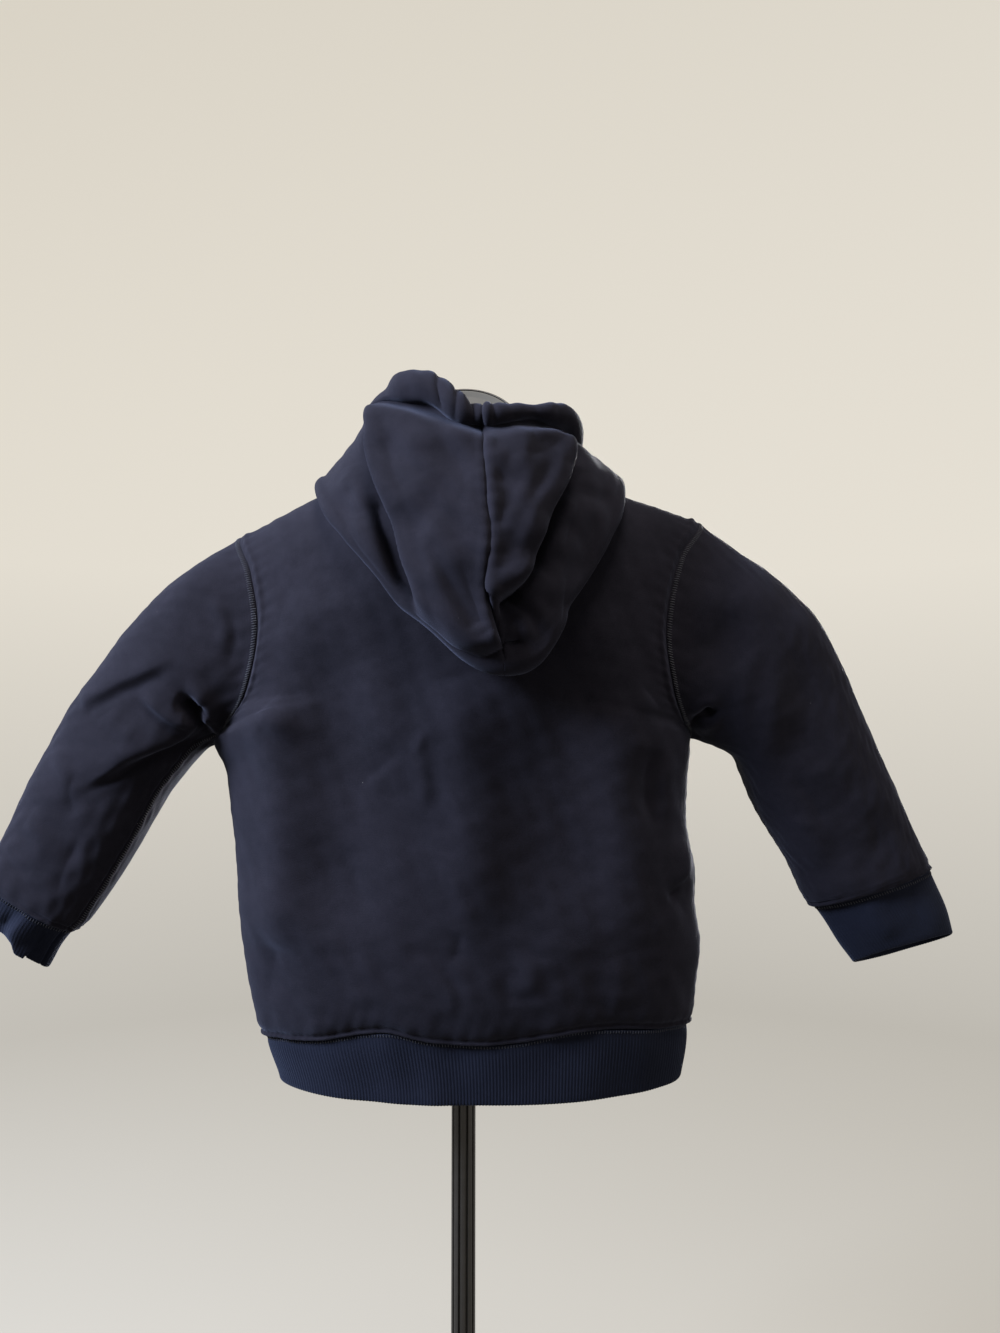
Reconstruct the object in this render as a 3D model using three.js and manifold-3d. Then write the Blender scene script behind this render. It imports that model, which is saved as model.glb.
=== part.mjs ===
// A child's zip-up hoodie worn by a limbless dress form on a pole stand.
// Millimetres, +Z up. The origin is the middle of the base's underside. The garment's front faces -Y, so the
// wearer's left is +X. The hood lies down the back, a pouch hung from the neck seam and folded back up.
// Heights in the garment's tables are measured up from the lower edge of the hem.
import * as THREE from "three";
import Module from "manifold-3d";

const wasm = await Module();
wasm.setup();

// ---------------------------------------------------------------- driving dimensions
const fleece = 2.4; // body and sleeve cloth
const rib = 2.8; // doubled rib of hem and cuffs
const hoodCloth = 3.2; // the hood is two layers
const seamGap = 0.3;
const hemAbove = 430; // floor to the hem's lower edge
const ribSeam = 37; // hem edge to the seam of the rib band
const underarm = 220;
const neckPoint = { reach: 62, height: 395 }; // where the shoulder seam meets the neck
const neckBack = { depth: 50, drop: 8, power: 2 };
const neckFront = { depth: 54, drop: 47, power: 1.6 };
const sectionPower = 2.3; // superellipse of the body
const shoulderStart = 0.7; // share of a panel's height where it starts to turn over the shoulder
const shoulderPower = 2.2;
const zipHalf = 7; // centre line to the edge of a front
const armSteps = 10; // rows from underarm to shoulder, and half of a sleeve's sides
const lowerSteps = 6; // rows from rib seam to underarm
const neckSteps = 4; // columns under half of the neck
const sideSteps = 6; // columns from neck point to side

const shoulder = { left: { reach: 147, height: 353 }, right: { reach: 154, height: 363 } };

// The side seams, from the centre line.
const sideLine = {
  left: [
    { height: 0, reach: 130 }, { height: 37, reach: 139 }, { height: 82, reach: 145 },
    { height: 133, reach: 147 }, { height: 172, reach: 149 }, { height: 202, reach: 155 },
    { height: 220, reach: 163 },
  ],
  right: [
    { height: 0, reach: 132 }, { height: 37, reach: 138 }, { height: 82, reach: 148 },
    { height: 110, reach: 148 }, { height: 135, reach: 150 }, { height: 160, reach: 144 },
    { height: 186, reach: 145 }, { height: 220, reach: 147 },
  ],
};
const hemRise = { left: 3.5, right: 5.5 }; // how much higher the hem is at the sides
// How far the seam of the rib band wanders, by degrees round from the centre towards the wearer's left.
const ribLine = {
  back: [
    { round: -90, lift: 2 }, { round: -60, lift: 4 }, { round: -30, lift: 7 }, { round: -12, lift: 1 },
    { round: 0, lift: -0.5 }, { round: 12, lift: 1.5 }, { round: 22, lift: 6.5 }, { round: 45, lift: -1 },
    { round: 68, lift: -4 }, { round: 90, lift: -6 },
  ],
  front: [
    { round: -90, lift: 2 }, { round: -45, lift: 1 }, { round: -20, lift: -2 }, { round: 0, lift: -1 },
    { round: 25, lift: -3 }, { round: 55, lift: -1 }, { round: 90, lift: -6 },
  ],
};

// The armhole seams: distance from the centre line, and depth before the shoulder rounds it off.
const armhole = {
  left: [
    { height: 220, reach: 163, depth: 0 }, { height: 232, reach: 150, depth: 22 },
    { height: 250, reach: 137, depth: 32 }, { height: 290, reach: 129, depth: 36 },
    { height: 327, reach: 136, depth: 36 }, { height: 353, reach: 147, depth: 34 },
  ],
  right: [
    { height: 220, reach: 147, depth: 0 }, { height: 232, reach: 140, depth: 22 },
    { height: 250, reach: 133, depth: 32 }, { height: 290, reach: 128, depth: 36 },
    { height: 335, reach: 138, depth: 36 }, { height: 363, reach: 154, depth: 34 },
  ],
};

// Half depths of the body behind and in front of the shoulder line.
const bodyDepth = [
  { height: 0, back: 45, front: 46 }, { height: 37, back: 49, front: 50 },
  { height: 60, back: 56, front: 57 }, { height: 110, back: 58, front: 61 },
  { height: 180, back: 57, front: 60 }, { height: 240, back: 59, front: 58 },
  { height: 300, back: 61, front: 55 }, { height: 350, back: 60, front: 54 },
  { height: 400, back: 58, front: 54 },
];

// Sleeve sections from armhole to cuff seam: the upper and lower edge of the flattened tube seen from
// behind, its half thickness, and how far it has drifted back.
const sleeve = {
  left: [
    { topX: 173, topZ: 335, lowX: 174, lowZ: 209, half: 37, drift: 1 },
    { topX: 197, topZ: 316, lowX: 184, lowZ: 197, half: 36, drift: 2 },
    { topX: 217, topZ: 292, lowX: 194, lowZ: 183, half: 33, drift: 4 },
    { topX: 237, topZ: 263, lowX: 203, lowZ: 166, half: 30, drift: 6 },
    { topX: 257, topZ: 234, lowX: 214, lowZ: 145, half: 28, drift: 8 },
    { topX: 276, topZ: 198, lowX: 227, lowZ: 123, half: 25, drift: 10 },
    { topX: 293, topZ: 160, lowX: 240, lowZ: 105, half: 22, drift: 11 },
    { topX: 305, topZ: 132, lowX: 248, lowZ: 98, half: 19, drift: 12 },
  ],
  right: [
    { topX: 181, topZ: 342, lowX: 163, lowZ: 215, half: 37, drift: 0 },
    { topX: 208, topZ: 323, lowX: 178, lowZ: 207, half: 36, drift: -1 },
    { topX: 232, topZ: 298, lowX: 184, lowZ: 194, half: 34, drift: -2 },
    { topX: 249, topZ: 266, lowX: 191, lowZ: 176, half: 31, drift: -3 },
    { topX: 264, topZ: 231, lowX: 202, lowZ: 157, half: 28, drift: -4 },
    { topX: 279, topZ: 197, lowX: 213, lowZ: 139, half: 25, drift: -5 },
    { topX: 294, topZ: 163, lowX: 221, lowZ: 122, half: 22, drift: -6 },
    { topX: 307, topZ: 135, lowX: 228, lowZ: 110, half: 19, drift: -7 },
  ],
};
// Cuff sections; tip is how much shorter the tube is behind than in front.
const cuff = {
  left: [
    { topX: 305, topZ: 132, lowX: 253, lowZ: 100, half: 17, drift: 12, tip: 0 },
    { topX: 308, topZ: 118, lowX: 258, lowZ: 88, half: 15, drift: 12, tip: 1 },
    { topX: 310, topZ: 104, lowX: 265, lowZ: 75, half: 13, drift: 12, tip: 3 },
  ],
  right: [
    { topX: 308, topZ: 133, lowX: 231, lowZ: 108, half: 17, drift: -7, tip: 0 },
    { topX: 315, topZ: 112, lowX: 243, lowZ: 92, half: 15, drift: -7, tip: 2 },
    { topX: 321, topZ: 92, lowX: 256, lowZ: 74, half: 12, drift: -7, tip: 5 },
  ],
};

// The hood, station by station round the neck from centre back (turn 0) to centre front. The cloth runs
// from the neck seam out to a fold, whose tip is at foldOut and foldUp and whose bend has the radius bend,
// then back up, swelling by belly, to a rolled opening edge of radius roll whose crest is at topOut and
// topUp. slope is the angle below level at which the lower layer runs out to the fold.
const hood = {
  left: [
    { turn: 0, foldOut: 75, foldUp: 259, slope: 90, bend: 9, belly: 8, topOut: 63, topUp: 415, roll: 7 },
    { turn: 15, foldOut: 75, foldUp: 266, slope: 90, bend: 9, belly: 8, topOut: 61, topUp: 428, roll: 9 },
    { turn: 28, foldOut: 78, foldUp: 286, slope: 86, bend: 9, belly: 7, topOut: 60, topUp: 443, roll: 12 },
    { turn: 48, foldOut: 83, foldUp: 321, slope: 78, bend: 8, belly: 6, topOut: 61, topUp: 441, roll: 12 },
    { turn: 72, foldOut: 90, foldUp: 358, slope: 60, bend: 6, belly: 3, topOut: 63, topUp: 427, roll: 9 },
    { turn: 90, foldOut: 94, foldUp: 380, slope: 34, bend: 5, belly: 4, topOut: 61, topUp: 418, roll: 8 },
    { turn: 112, foldOut: 90, foldUp: 376, slope: 42, bend: 5, belly: 3, topOut: 63, topUp: 408, roll: 7 },
    { turn: 135, foldOut: 80, foldUp: 362, slope: 58, bend: 5, belly: 2, topOut: 62, topUp: 396, roll: 6 },
    { turn: 158, foldOut: 69, foldUp: 350, slope: 72, bend: 5, belly: 2, topOut: 60, topUp: 382, roll: 5 },
    { turn: 174, foldOut: 64, foldUp: 344, slope: 78, bend: 4, belly: 1, topOut: 58, topUp: 369, roll: 4 },
  ],
  right: [
    { turn: 0, foldOut: 75, foldUp: 259, slope: 90, bend: 9, belly: 8, topOut: 63, topUp: 415, roll: 7 },
    { turn: 15, foldOut: 75, foldUp: 264, slope: 90, bend: 9, belly: 8, topOut: 62, topUp: 420, roll: 7 },
    { turn: 28, foldOut: 78, foldUp: 283, slope: 86, bend: 9, belly: 7, topOut: 63, topUp: 422, roll: 8 },
    { turn: 48, foldOut: 83, foldUp: 317, slope: 78, bend: 9, belly: 6, topOut: 65, topUp: 426, roll: 8 },
    { turn: 72, foldOut: 90, foldUp: 357, slope: 60, bend: 8, belly: 6, topOut: 66, topUp: 420, roll: 7 },
    { turn: 90, foldOut: 95, foldUp: 384, slope: 34, bend: 8, belly: 6, topOut: 65, topUp: 415, roll: 7 },
    { turn: 112, foldOut: 91, foldUp: 379, slope: 42, bend: 6, belly: 3, topOut: 63, topUp: 407, roll: 7 },
    { turn: 135, foldOut: 80, foldUp: 363, slope: 58, bend: 5, belly: 2, topOut: 62, topUp: 396, roll: 6 },
    { turn: 158, foldOut: 69, foldUp: 350, slope: 72, bend: 5, belly: 2, topOut: 60, topUp: 382, roll: 5 },
    { turn: 174, foldOut: 64, foldUp: 344, slope: 78, bend: 4, belly: 1, topOut: 58, topUp: 369, roll: 4 },
  ],
};
// The hood's middle panel stands proud of its sides: the distances of its edges from the centre seam.
const middlePanel = [
  { height: 266, left: 6, right: 2 }, { height: 285, left: 32, right: 6 },
  { height: 300, left: 42, right: 16 }, { height: 323, left: 50, right: 34 },
  { height: 360, left: 59, right: 44 }, { height: 405, left: 70, right: 54 },
];
const middleProud = 7;
// How far the pouch hangs over to the wearer's right.
const hoodLean = [
  { height: 259, shift: -25 }, { height: 290, shift: -18 }, { height: 360, shift: -15 },
  { height: 430, shift: -14 },
];
const hoodColumns = 17;
const hoodCentreGap = 5.5; // centre line to a front edge of the hood
const hoodRest = 3.4; // hood to body where it lies on it
const hoodSeam = { back: 2.2, front: 3.6, rest: 0.8 }; // above the neckline, and hood to body there

// The dress form: half width and half depths of its rounded sections, and its sloping neck.
const form = [
  { height: 24, half: 96, back: 36, front: 37 }, { height: 60, half: 101, back: 42, front: 44 },
  { height: 110, half: 99, back: 44, front: 48 }, { height: 160, half: 97, back: 44, front: 47 },
  { height: 220, half: 104, back: 46, front: 46 }, { height: 280, half: 112, back: 47, front: 44 },
  { height: 320, half: 116, back: 43, front: 38 }, { height: 345, half: 114, back: 36, front: 32 },
];
// Sections of its shoulders, which sink towards the middle of the back and of the chest.
const yoke = [
  { half: 108, back: 34, front: 32, sinkBack: 5, sinkFront: 7 },
  { half: 94, back: 38, front: 38, sinkBack: 7, sinkFront: 12 },
  { half: 76, back: 41, front: 42, sinkBack: 10, sinkFront: 26 },
  { half: 56, back: 43, front: 42, sinkBack: 13, sinkFront: 47 },
];
const formSides = 32;
const shoulderRest = 1; // cloth to form along the shoulder
// The neck bends back round a level line behind it and ends in a round cap.
const neck = { radius: 38, pivotOut: 39.5, pivotHeight: 383.5, tilt: 60, flare: 14 };
const capThick = 3;
const capRim = 1.2;

const pole = { radius: 7.8, flutes: 10, groove: 1.5, intoForm: 40, slack: 0.4 };
const base = { radius: 140, edge: 4.5, thick: 6.5, collar: 15, collarTop: 38 };

const zipTape = { edge: 0.35, outer: zipHalf - seamGap, chain: 2.9, rise: 1.2, thick: 1.0, sunk: 0.9 };
const zipTop = 343;
const slider = { half: 4.4, long: 13, thick: 6.4, slot: 3.7, capLong: 2.4 };
const bail = { half: 0.8, long: 5.6, hole: 3.0, rise: 3.0, crown: 1 };
const pull = { half: 3.2, long: 21, thick: 1.1, bar: 0.6, eyeHalf: 1.4, eyeLong: 4.2 };

// ---------------------------------------------------------------- helpers
const mix = (a, b, share) => a + (b - a) * share;
const clamp01 = (value) => Math.min(1, Math.max(0, value));
const ease = (value) => clamp01(value) ** 2 * (3 - 2 * clamp01(value));
const radians = (degrees) => (degrees * Math.PI) / 180;
const sideSign = { left: 1, right: -1 };

// A smooth curve through a table's column `name`, read off at `at` on its column `by`.
function column(table, by, name, at) {
  const last = table.length - 1;
  if (at <= table[0][by]) return table[0][name];
  if (at >= table[last][by]) return table[last][name];
  let i = 0;
  while (table[i + 1][by] < at) i++;
  const slopeAt = (k) => {
    if (k === 0 || k === last) return 0;
    return (table[k + 1][name] - table[k - 1][name]) / (table[k + 1][by] - table[k - 1][by]);
  };
  const span = table[i + 1][by] - table[i][by];
  const t = (at - table[i][by]) / span;
  const [p, q] = [table[i][name], table[i + 1][name]];
  const [m, n] = [slopeAt(i) * span, slopeAt(i + 1) * span];
  return (2 * t ** 3 - 3 * t ** 2 + 1) * p + (t ** 3 - 2 * t ** 2 + t) * m
    + (3 * t ** 2 - 2 * t ** 3) * q + (t ** 3 - t ** 2) * n;
}

// Vertex normals of a grid of points, pointing away from `inside(point)`.
function gridNormals(grid, wrap, inside) {
  const rows = grid.length;
  const cols = grid[0].length;
  return grid.map((line, i) => line.map((point, j) => {
    const up = grid[Math.min(i + 1, rows - 1)][j].clone().sub(grid[Math.max(i - 1, 0)][j]);
    const next = wrap ? (j + 1) % cols : Math.min(j + 1, cols - 1);
    const before = wrap ? (j + cols - 1) % cols : Math.max(j - 1, 0);
    const normal = up.cross(line[next].clone().sub(line[before])).normalize();
    return normal.dot(point.clone().sub(inside(point, i, j))) < 0 ? normal.negate() : normal;
  }));
}

// A closed wall between two grids of points, as an indexed geometry facing out.
function wallGeometry(outer, inner, wrap = false) {
  const rows = outer.length;
  const cols = outer[0].length;
  const points = [...outer.flat(), ...inner.flat()];
  const index = [];
  const at = (layer, i, j) => layer * rows * cols + i * cols + (j % cols);
  const quad = (a, b, c, d) => index.push(a, b, c, a, c, d);
  const lastCol = wrap ? cols : cols - 1;
  for (let i = 0; i < rows - 1; i++) {
    for (let j = 0; j < lastCol; j++) {
      quad(at(0, i, j), at(0, i, j + 1), at(0, i + 1, j + 1), at(0, i + 1, j));
      quad(at(1, i, j), at(1, i + 1, j), at(1, i + 1, j + 1), at(1, i, j + 1));
    }
  }
  for (let j = 0; j < lastCol; j++) {
    quad(at(0, 0, j), at(1, 0, j), at(1, 0, j + 1), at(0, 0, j + 1));
    quad(at(0, rows - 1, j), at(0, rows - 1, j + 1), at(1, rows - 1, j + 1), at(1, rows - 1, j));
  }
  for (let i = 0; i < rows - 1 && !wrap; i++) {
    quad(at(0, i, 0), at(0, i + 1, 0), at(1, i + 1, 0), at(1, i, 0));
    quad(at(0, i, cols - 1), at(1, i, cols - 1), at(1, i + 1, cols - 1), at(0, i + 1, cols - 1));
  }
  return facingOut(points, index);
}

// A solid from rings of points, closed at both ends.
function ringsGeometry(rings) {
  const cols = rings[0].length;
  const points = rings.flat();
  const index = [];
  for (let i = 0; i < rings.length - 1; i++) {
    for (let j = 0; j < cols; j++) {
      const [a, b] = [i * cols + j, i * cols + ((j + 1) % cols)];
      index.push(a, b, b + cols, a, b + cols, a + cols);
    }
  }
  const end = (ring, first, turned) => {
    const middle = ring.reduce((sum, p) => sum.add(p), new THREE.Vector3()).divideScalar(cols);
    points.push(middle);
    for (let j = 0; j < cols; j++) {
      const [a, b] = [first + j, first + ((j + 1) % cols)];
      index.push(...(turned ? [a, b, points.length - 1] : [b, a, points.length - 1]));
    }
  };
  end(rings[0], 0, false);
  end(rings[rings.length - 1], (rings.length - 1) * cols, true);
  return facingOut(points, index);
}

function facingOut(points, index) {
  let volume = 0;
  for (let k = 0; k < index.length; k += 3) {
    volume += points[index[k]].dot(points[index[k + 1]].clone().cross(points[index[k + 2]]));
  }
  if (volume < 0) index.reverse();
  const geometry = new THREE.BufferGeometry().setFromPoints(points);
  geometry.setIndex(index);
  geometry.computeVertexNormals();
  return geometry;
}

// Boolean work on closed geometries.
function solidOf(geometry) {
  const position = geometry.getAttribute("position");
  const seen = new Map();
  const vertices = [];
  const merged = Array.from({ length: position.count }, (_, k) => {
    const place = [position.getX(k), position.getY(k), position.getZ(k)];
    const key = place.map((value) => Math.round(value * 1e4)).join();
    if (!seen.has(key)) {
      seen.set(key, vertices.length / 3);
      vertices.push(...place);
    }
    return seen.get(key);
  });
  const corners = geometry.index ? Array.from(geometry.index.array, (k) => merged[k]) : merged;
  const kept = [];
  for (let k = 0; k < corners.length; k += 3) {
    const [a, b, c] = corners.slice(k, k + 3);
    if (a !== b && b !== c && a !== c) kept.push(a, b, c);
  }
  return new wasm.Manifold(new wasm.Mesh({
    numProp: 3,
    vertProperties: new Float32Array(vertices),
    triVerts: new Uint32Array(kept),
  }));
}
function geometryOf(solid) {
  const mesh = solid.getMesh();
  const geometry = new THREE.BufferGeometry();
  geometry.setAttribute("position", new THREE.BufferAttribute(new Float32Array(mesh.vertProperties), 3));
  geometry.setIndex(new THREE.BufferAttribute(new Uint32Array(mesh.triVerts), 1));
  geometry.computeVertexNormals();
  return geometry;
}

// ---------------------------------------------------------------- the body
const centreLine = (height) => -10 * (1 - ease(height / 150));
// Height of the rib band's seam, at a signed angle round from the centre.
const ribTop = (side, face, turn) => {
  const round = (sideSign[side] * turn * 180) / Math.PI;
  return ribSeam + column(ribLine[face], "round", "lift", round);
};
const overShoulder = (share) => {
  return (1 - clamp01((share - shoulderStart) / (1 - shoulderStart)) ** shoulderPower) ** (1 / shoulderPower);
};

// The seam edge at a row: its reach from the centre line and its depth.
function bodyEdge(side, height) {
  if (height <= underarm) return { reach: column(sideLine[side], "height", "reach", height), depth: 0 };
  return {
    reach: column(armhole[side], "height", "reach", height),
    depth: column(armhole[side], "height", "depth", height),
  };
}
// Where a column of a panel ends at the top: the neckline, or past the neck point the shoulder seam.
function panelTop(side, face, reach) {
  const { reach: neckReach, height: neckHeight } = neckPoint;
  if (reach <= neckReach) {
    const inward = Math.sqrt(Math.max(0, 1 - (reach / neckReach) ** 2));
    const edge = face === "back" ? neckBack : neckFront;
    return { height: neckHeight - edge.drop * inward ** edge.power, depth: edge.depth * inward };
  }
  const share = (reach - neckReach) / (shoulder[side].reach - neckReach);
  return { height: mix(neckHeight, shoulder[side].height, share), depth: 0 };
}
// A point of the body's outer surface. turn runs from 0 at the centre to a quarter circle at the seam, and
// rise from 0 at the rib seam to 1 at the shoulder or neck.
function bodyPoint(side, face, turn, rise) {
  const foot = ribTop(side, face, turn);
  const height = mix(ribSeam, shoulder[side].height, rise);
  const edge = bodyEdge(side, height);
  const across = Math.sin(turn);
  const top = panelTop(side, face, shoulder[side].reach * across);
  const full = column(bodyDepth, "height", face, height);
  const flank = (1 - Math.min(1, edge.depth / full) ** sectionPower) ** (1 / sectionPower);
  const body = full * Math.max(0, 1 - (flank * across) ** sectionPower) ** (1 / sectionPower);
  const depth = mix(top.depth, body, overShoulder(rise));
  const z = mix(foot, top.height, rise);
  return new THREE.Vector3(
    centreLine(z) + sideSign[side] * edge.reach * across,
    (face === "back" ? 1 : -1) * (depth + seamGap / 2),
    hemAbove + z,
  );
}
const risesOf = (side) => {
  const share = (height) => (height - ribSeam) / (shoulder[side].height - ribSeam);
  const lower = Array.from({ length: lowerSteps }, (_, k) => share(mix(ribSeam, underarm, k / lowerSteps)));
  const upper = Array.from({ length: armSteps + 1 }, (_, k) => {
    return share(mix(underarm, shoulder[side].height, (1 - Math.cos((Math.PI * k) / armSteps)) / 2));
  });
  return [...lower, ...upper];
};
const turnsOf = (side) => {
  const neckTurn = Math.asin(neckPoint.reach / shoulder[side].reach);
  const under = Array.from({ length: neckSteps }, (_, k) => (neckTurn * k) / neckSteps);
  const out = Array.from({ length: sideSteps + 1 }, (_, k) => mix(neckTurn, Math.PI / 2, k / sideSteps));
  return [...under, ...out];
};
const formAxis = (point) => new THREE.Vector3(0, 0, Math.min(point.z, hemAbove + 330));

// Puts the cloth's thickness inside a panel. Normals at a seam that another panel mirrors stay in its plane.
function panelWall(grid, thick, seams) {
  const normals = gridNormals(grid, false, formAxis);
  seams(normals);
  const inner = grid.map((line, i) => line.map((p, j) => {
    return p.clone().addScaledVector(normals[i][j].normalize(), -thick);
  }));
  return wallGeometry(grid, inner);
}
const flatten = (normal, axis) => {
  normal[axis] = 0;
};
function bodySeams(normals, columnsOfSide, shoulderFrom) {
  columnsOfSide.forEach((j) => normals.forEach((line, i) => flatten(line[j], i > lowerSteps ? "x" : "y")));
  normals[normals.length - 1].forEach((normal, j) => {
    if (shoulderFrom(j)) flatten(normal, "y");
  });
}
function backPanel() {
  const grid = risesOf("left").map((_, i) => {
    const half = (side) => turnsOf(side).map((turn) => bodyPoint(side, "back", turn, risesOf(side)[i]));
    const [left, right] = [half("left"), half("right")];
    left[0].lerp(right[0], 0.5);
    return [...right.slice(1).reverse(), ...left];
  });
  const cols = grid[0].length;
  const middle = (cols - 1) / 2;
  return panelWall(grid, fleece, (normals) => {
    bodySeams(normals, [0, cols - 1], (j) => Math.abs(j - middle) >= neckSteps);
  });
}
function frontPanel(side) {
  const grid = risesOf(side).map((rise) => turnsOf(side).map((turn, j) => {
    const point = bodyPoint(side, "front", turn, rise);
    const edge = centreLine(point.z - hemAbove) + sideSign[side] * zipHalf;
    if (j === 0) point.x = edge;
    return point;
  }));
  return panelWall(grid, fleece, (normals) => {
    bodySeams(normals, [grid[0].length - 1], (j) => j >= neckSteps);
    normals.forEach((line) => flatten(line[0], "x"));
  });
}

// ---------------------------------------------------------------- the rib band
const bandSteps = 3;
const bandSink = 2.2; // the rib is drawn in under the fleece
function ribBand() {
  const across = 22;
  const turns = Array.from({ length: across + 1 }, (_, k) => (Math.PI * k) / across);
  const place = (side, round, share) => {
    const face = round < Math.PI / 2 ? "front" : "back";
    const turn = face === "front" ? round : Math.PI - round;
    const sine = Math.sin(turn);
    const z = mix(hemRise[side] * sine ** 2, ribTop(side, face, turn) - 2 * seamGap, share);
    const reach = column(sideLine[side], "height", "reach", z) - bandSink;
    const full = column(bodyDepth, "height", face, z) - bandSink;
    const depth = full * Math.max(0, 1 - sine ** sectionPower) ** (1 / sectionPower);
    const out = round === 0 ? zipHalf : reach * sine;
    const x = centreLine(z) + sideSign[side] * out;
    return new THREE.Vector3(x, (face === "back" ? 1 : -1) * depth, hemAbove + z);
  };
  const grid = Array.from({ length: bandSteps + 1 }, (_, k) => {
    const row = (side) => turns.map((round) => place(side, round, k / bandSteps));
    return [...row("right"), ...row("left").slice(0, -1).reverse()];
  });
  return panelWall(grid, rib, (normals) => normals.forEach((line) => {
    flatten(line[0], "x");
    flatten(line[line.length - 1], "x");
  }));
}

// ---------------------------------------------------------------- sleeves and cuffs
const around = Array.from({ length: 2 * armSteps }, (_, k) => (Math.PI * k) / armSteps);

// A flattened ring of a sleeve: around 0 is its upper edge, and a quarter turn on is its back.
function sleeveRing(side, row, grow = 0) {
  const top = new THREE.Vector3(sideSign[side] * row.topX, row.drift, hemAbove + row.topZ);
  const low = new THREE.Vector3(sideSign[side] * row.lowX, row.drift, hemAbove + row.lowZ);
  const centre = top.clone().add(low).multiplyScalar(0.5);
  const arm = top.clone().sub(low).multiplyScalar(0.5);
  arm.setLength(arm.length() + grow);
  return around.map((turn) => centre.clone()
    .addScaledVector(arm, Math.cos(turn))
    .add(new THREE.Vector3(0, (row.half + grow) * Math.sin(turn), (row.tip ?? 0) * Math.sin(turn))));
}
function armholeRing(side) {
  return around.map((turn) => {
    const face = turn <= Math.PI ? "back" : "front";
    const share = (1 + Math.cos(turn)) / 2;
    const rise = (mix(underarm, shoulder[side].height, share) - ribSeam) / (shoulder[side].height - ribSeam);
    const point = bodyPoint(side, face, Math.PI / 2, rise);
    point.x += sideSign[side] * seamGap;
    return point;
  });
}
const tubeAxis = (grid) => (_, i) => {
  return grid[i].reduce((sum, p) => sum.add(p), new THREE.Vector3()).divideScalar(grid[i].length);
};
function tubeWall(grid, thick, seam = () => {}) {
  const normals = gridNormals(grid, true, tubeAxis(grid));
  normals[0].forEach(seam);
  const inner = grid.map((line, i) => line.map((p, j) => {
    return p.clone().addScaledVector(normals[i][j].normalize(), -thick);
  }));
  return wallGeometry(grid, inner, true);
}
function sleeveSolid(side) {
  const rings = [armholeRing(side), ...sleeve[side].map((row) => sleeveRing(side, row))];
  return tubeWall(rings, fleece, (normal, j) => {
    if (around[j] !== Math.PI) flatten(normal, "x");
  });
}
function cuffSolid(side) {
  const rows = cuff[side].map((row) => sleeveRing(side, row));
  const start = rows[0];
  const seam = sleeveRing(side, sleeve[side][sleeve[side].length - 1], -1.5);
  const outward = rows[1][0].clone().sub(start[0]).normalize();
  const first = seam.map((p) => p.clone().addScaledVector(outward, 1));
  return tubeWall([first, ...rows.slice(1)], rib);
}

// ---------------------------------------------------------------- the hood
const leanAt = (height) => column(hoodLean, "height", "shift", height);
function neckSeam(turn) {
  const inward = Math.abs(Math.cos(turn));
  const edge = turn <= Math.PI / 2 ? neckBack : neckFront;
  return {
    out: new THREE.Vector2(neckPoint.reach * Math.sin(turn), edge.depth * Math.cos(turn)).length(),
    up: neckPoint.height - edge.drop * inward ** edge.power,
  };
}
// The cloth's middle line at one station; free is 0 at the neck seam and 1 past the fold.
function hoodProfile(station, turn) {
  const seam = neckSeam(turn);
  const slope = radians(station.slope);
  const along = [Math.cos(slope), -Math.sin(slope)];
  const under = [-Math.sin(slope), -Math.cos(slope)];
  const tip = [station.foldOut - station.bend * along[0], station.foldUp - station.bend * along[1]];
  const bendAt = (angle) => ({
    out: tip[0] + station.bend * (under[0] * Math.cos(angle) + along[0] * Math.sin(angle)),
    up: tip[1] + station.bend * (under[1] * Math.cos(angle) + along[1] * Math.sin(angle)),
    free: 1,
  });
  const seamLift = turn < Math.PI / 2 ? hoodSeam.back : hoodSeam.front;
  const start = { out: seam.out + hoodCloth / 2, up: seam.up + seamLift, free: 0 };
  const rise = { out: seam.out + 5, up: seam.up + 6, free: 0.1 };
  const bendStart = bendAt(0);
  const over = {
    out: mix(rise.out, bendStart.out, 0.62),
    up: mix(rise.up, bendStart.up, station.slope > 70 ? 0.16 : 0.45) + 1,
    free: 0.4,
  };
  const down = { out: mix(over.out, bendStart.out, 0.8), up: mix(over.up, bendStart.up, 0.5), free: 0.75 };
  const bends = [0, 36, 72, 108, 144, 180].map((degrees) => bendAt(radians(degrees)));
  const leave = bends[bends.length - 1];
  const middle = [station.topOut, station.topUp - station.roll];
  const rollAt = (degrees) => ({
    out: middle[0] + station.roll * Math.cos(radians(degrees)),
    up: middle[1] + station.roll * Math.sin(radians(degrees)),
    free: 1,
  });
  const groove = { out: rollAt(-50).out - 1, up: rollAt(-50).up - 3, free: 1 };
  const rising = new THREE.Vector2(groove.out - leave.out, groove.up - leave.up).normalize();
  const climb = [0.25, 0.5, 0.75].map((share) => {
    const swell = station.belly * Math.sin(Math.PI * share);
    return {
      out: mix(leave.out, groove.out, share) + swell * rising.y,
      up: mix(leave.up, groove.up, share) - swell * rising.x,
      free: 1,
    };
  });
  const rolled = [-50, -15, 25, 65, 105, 150, 195].map(rollAt);
  return [start, rise, over, down, ...bends, ...climb, groove, ...rolled];
}
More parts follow.
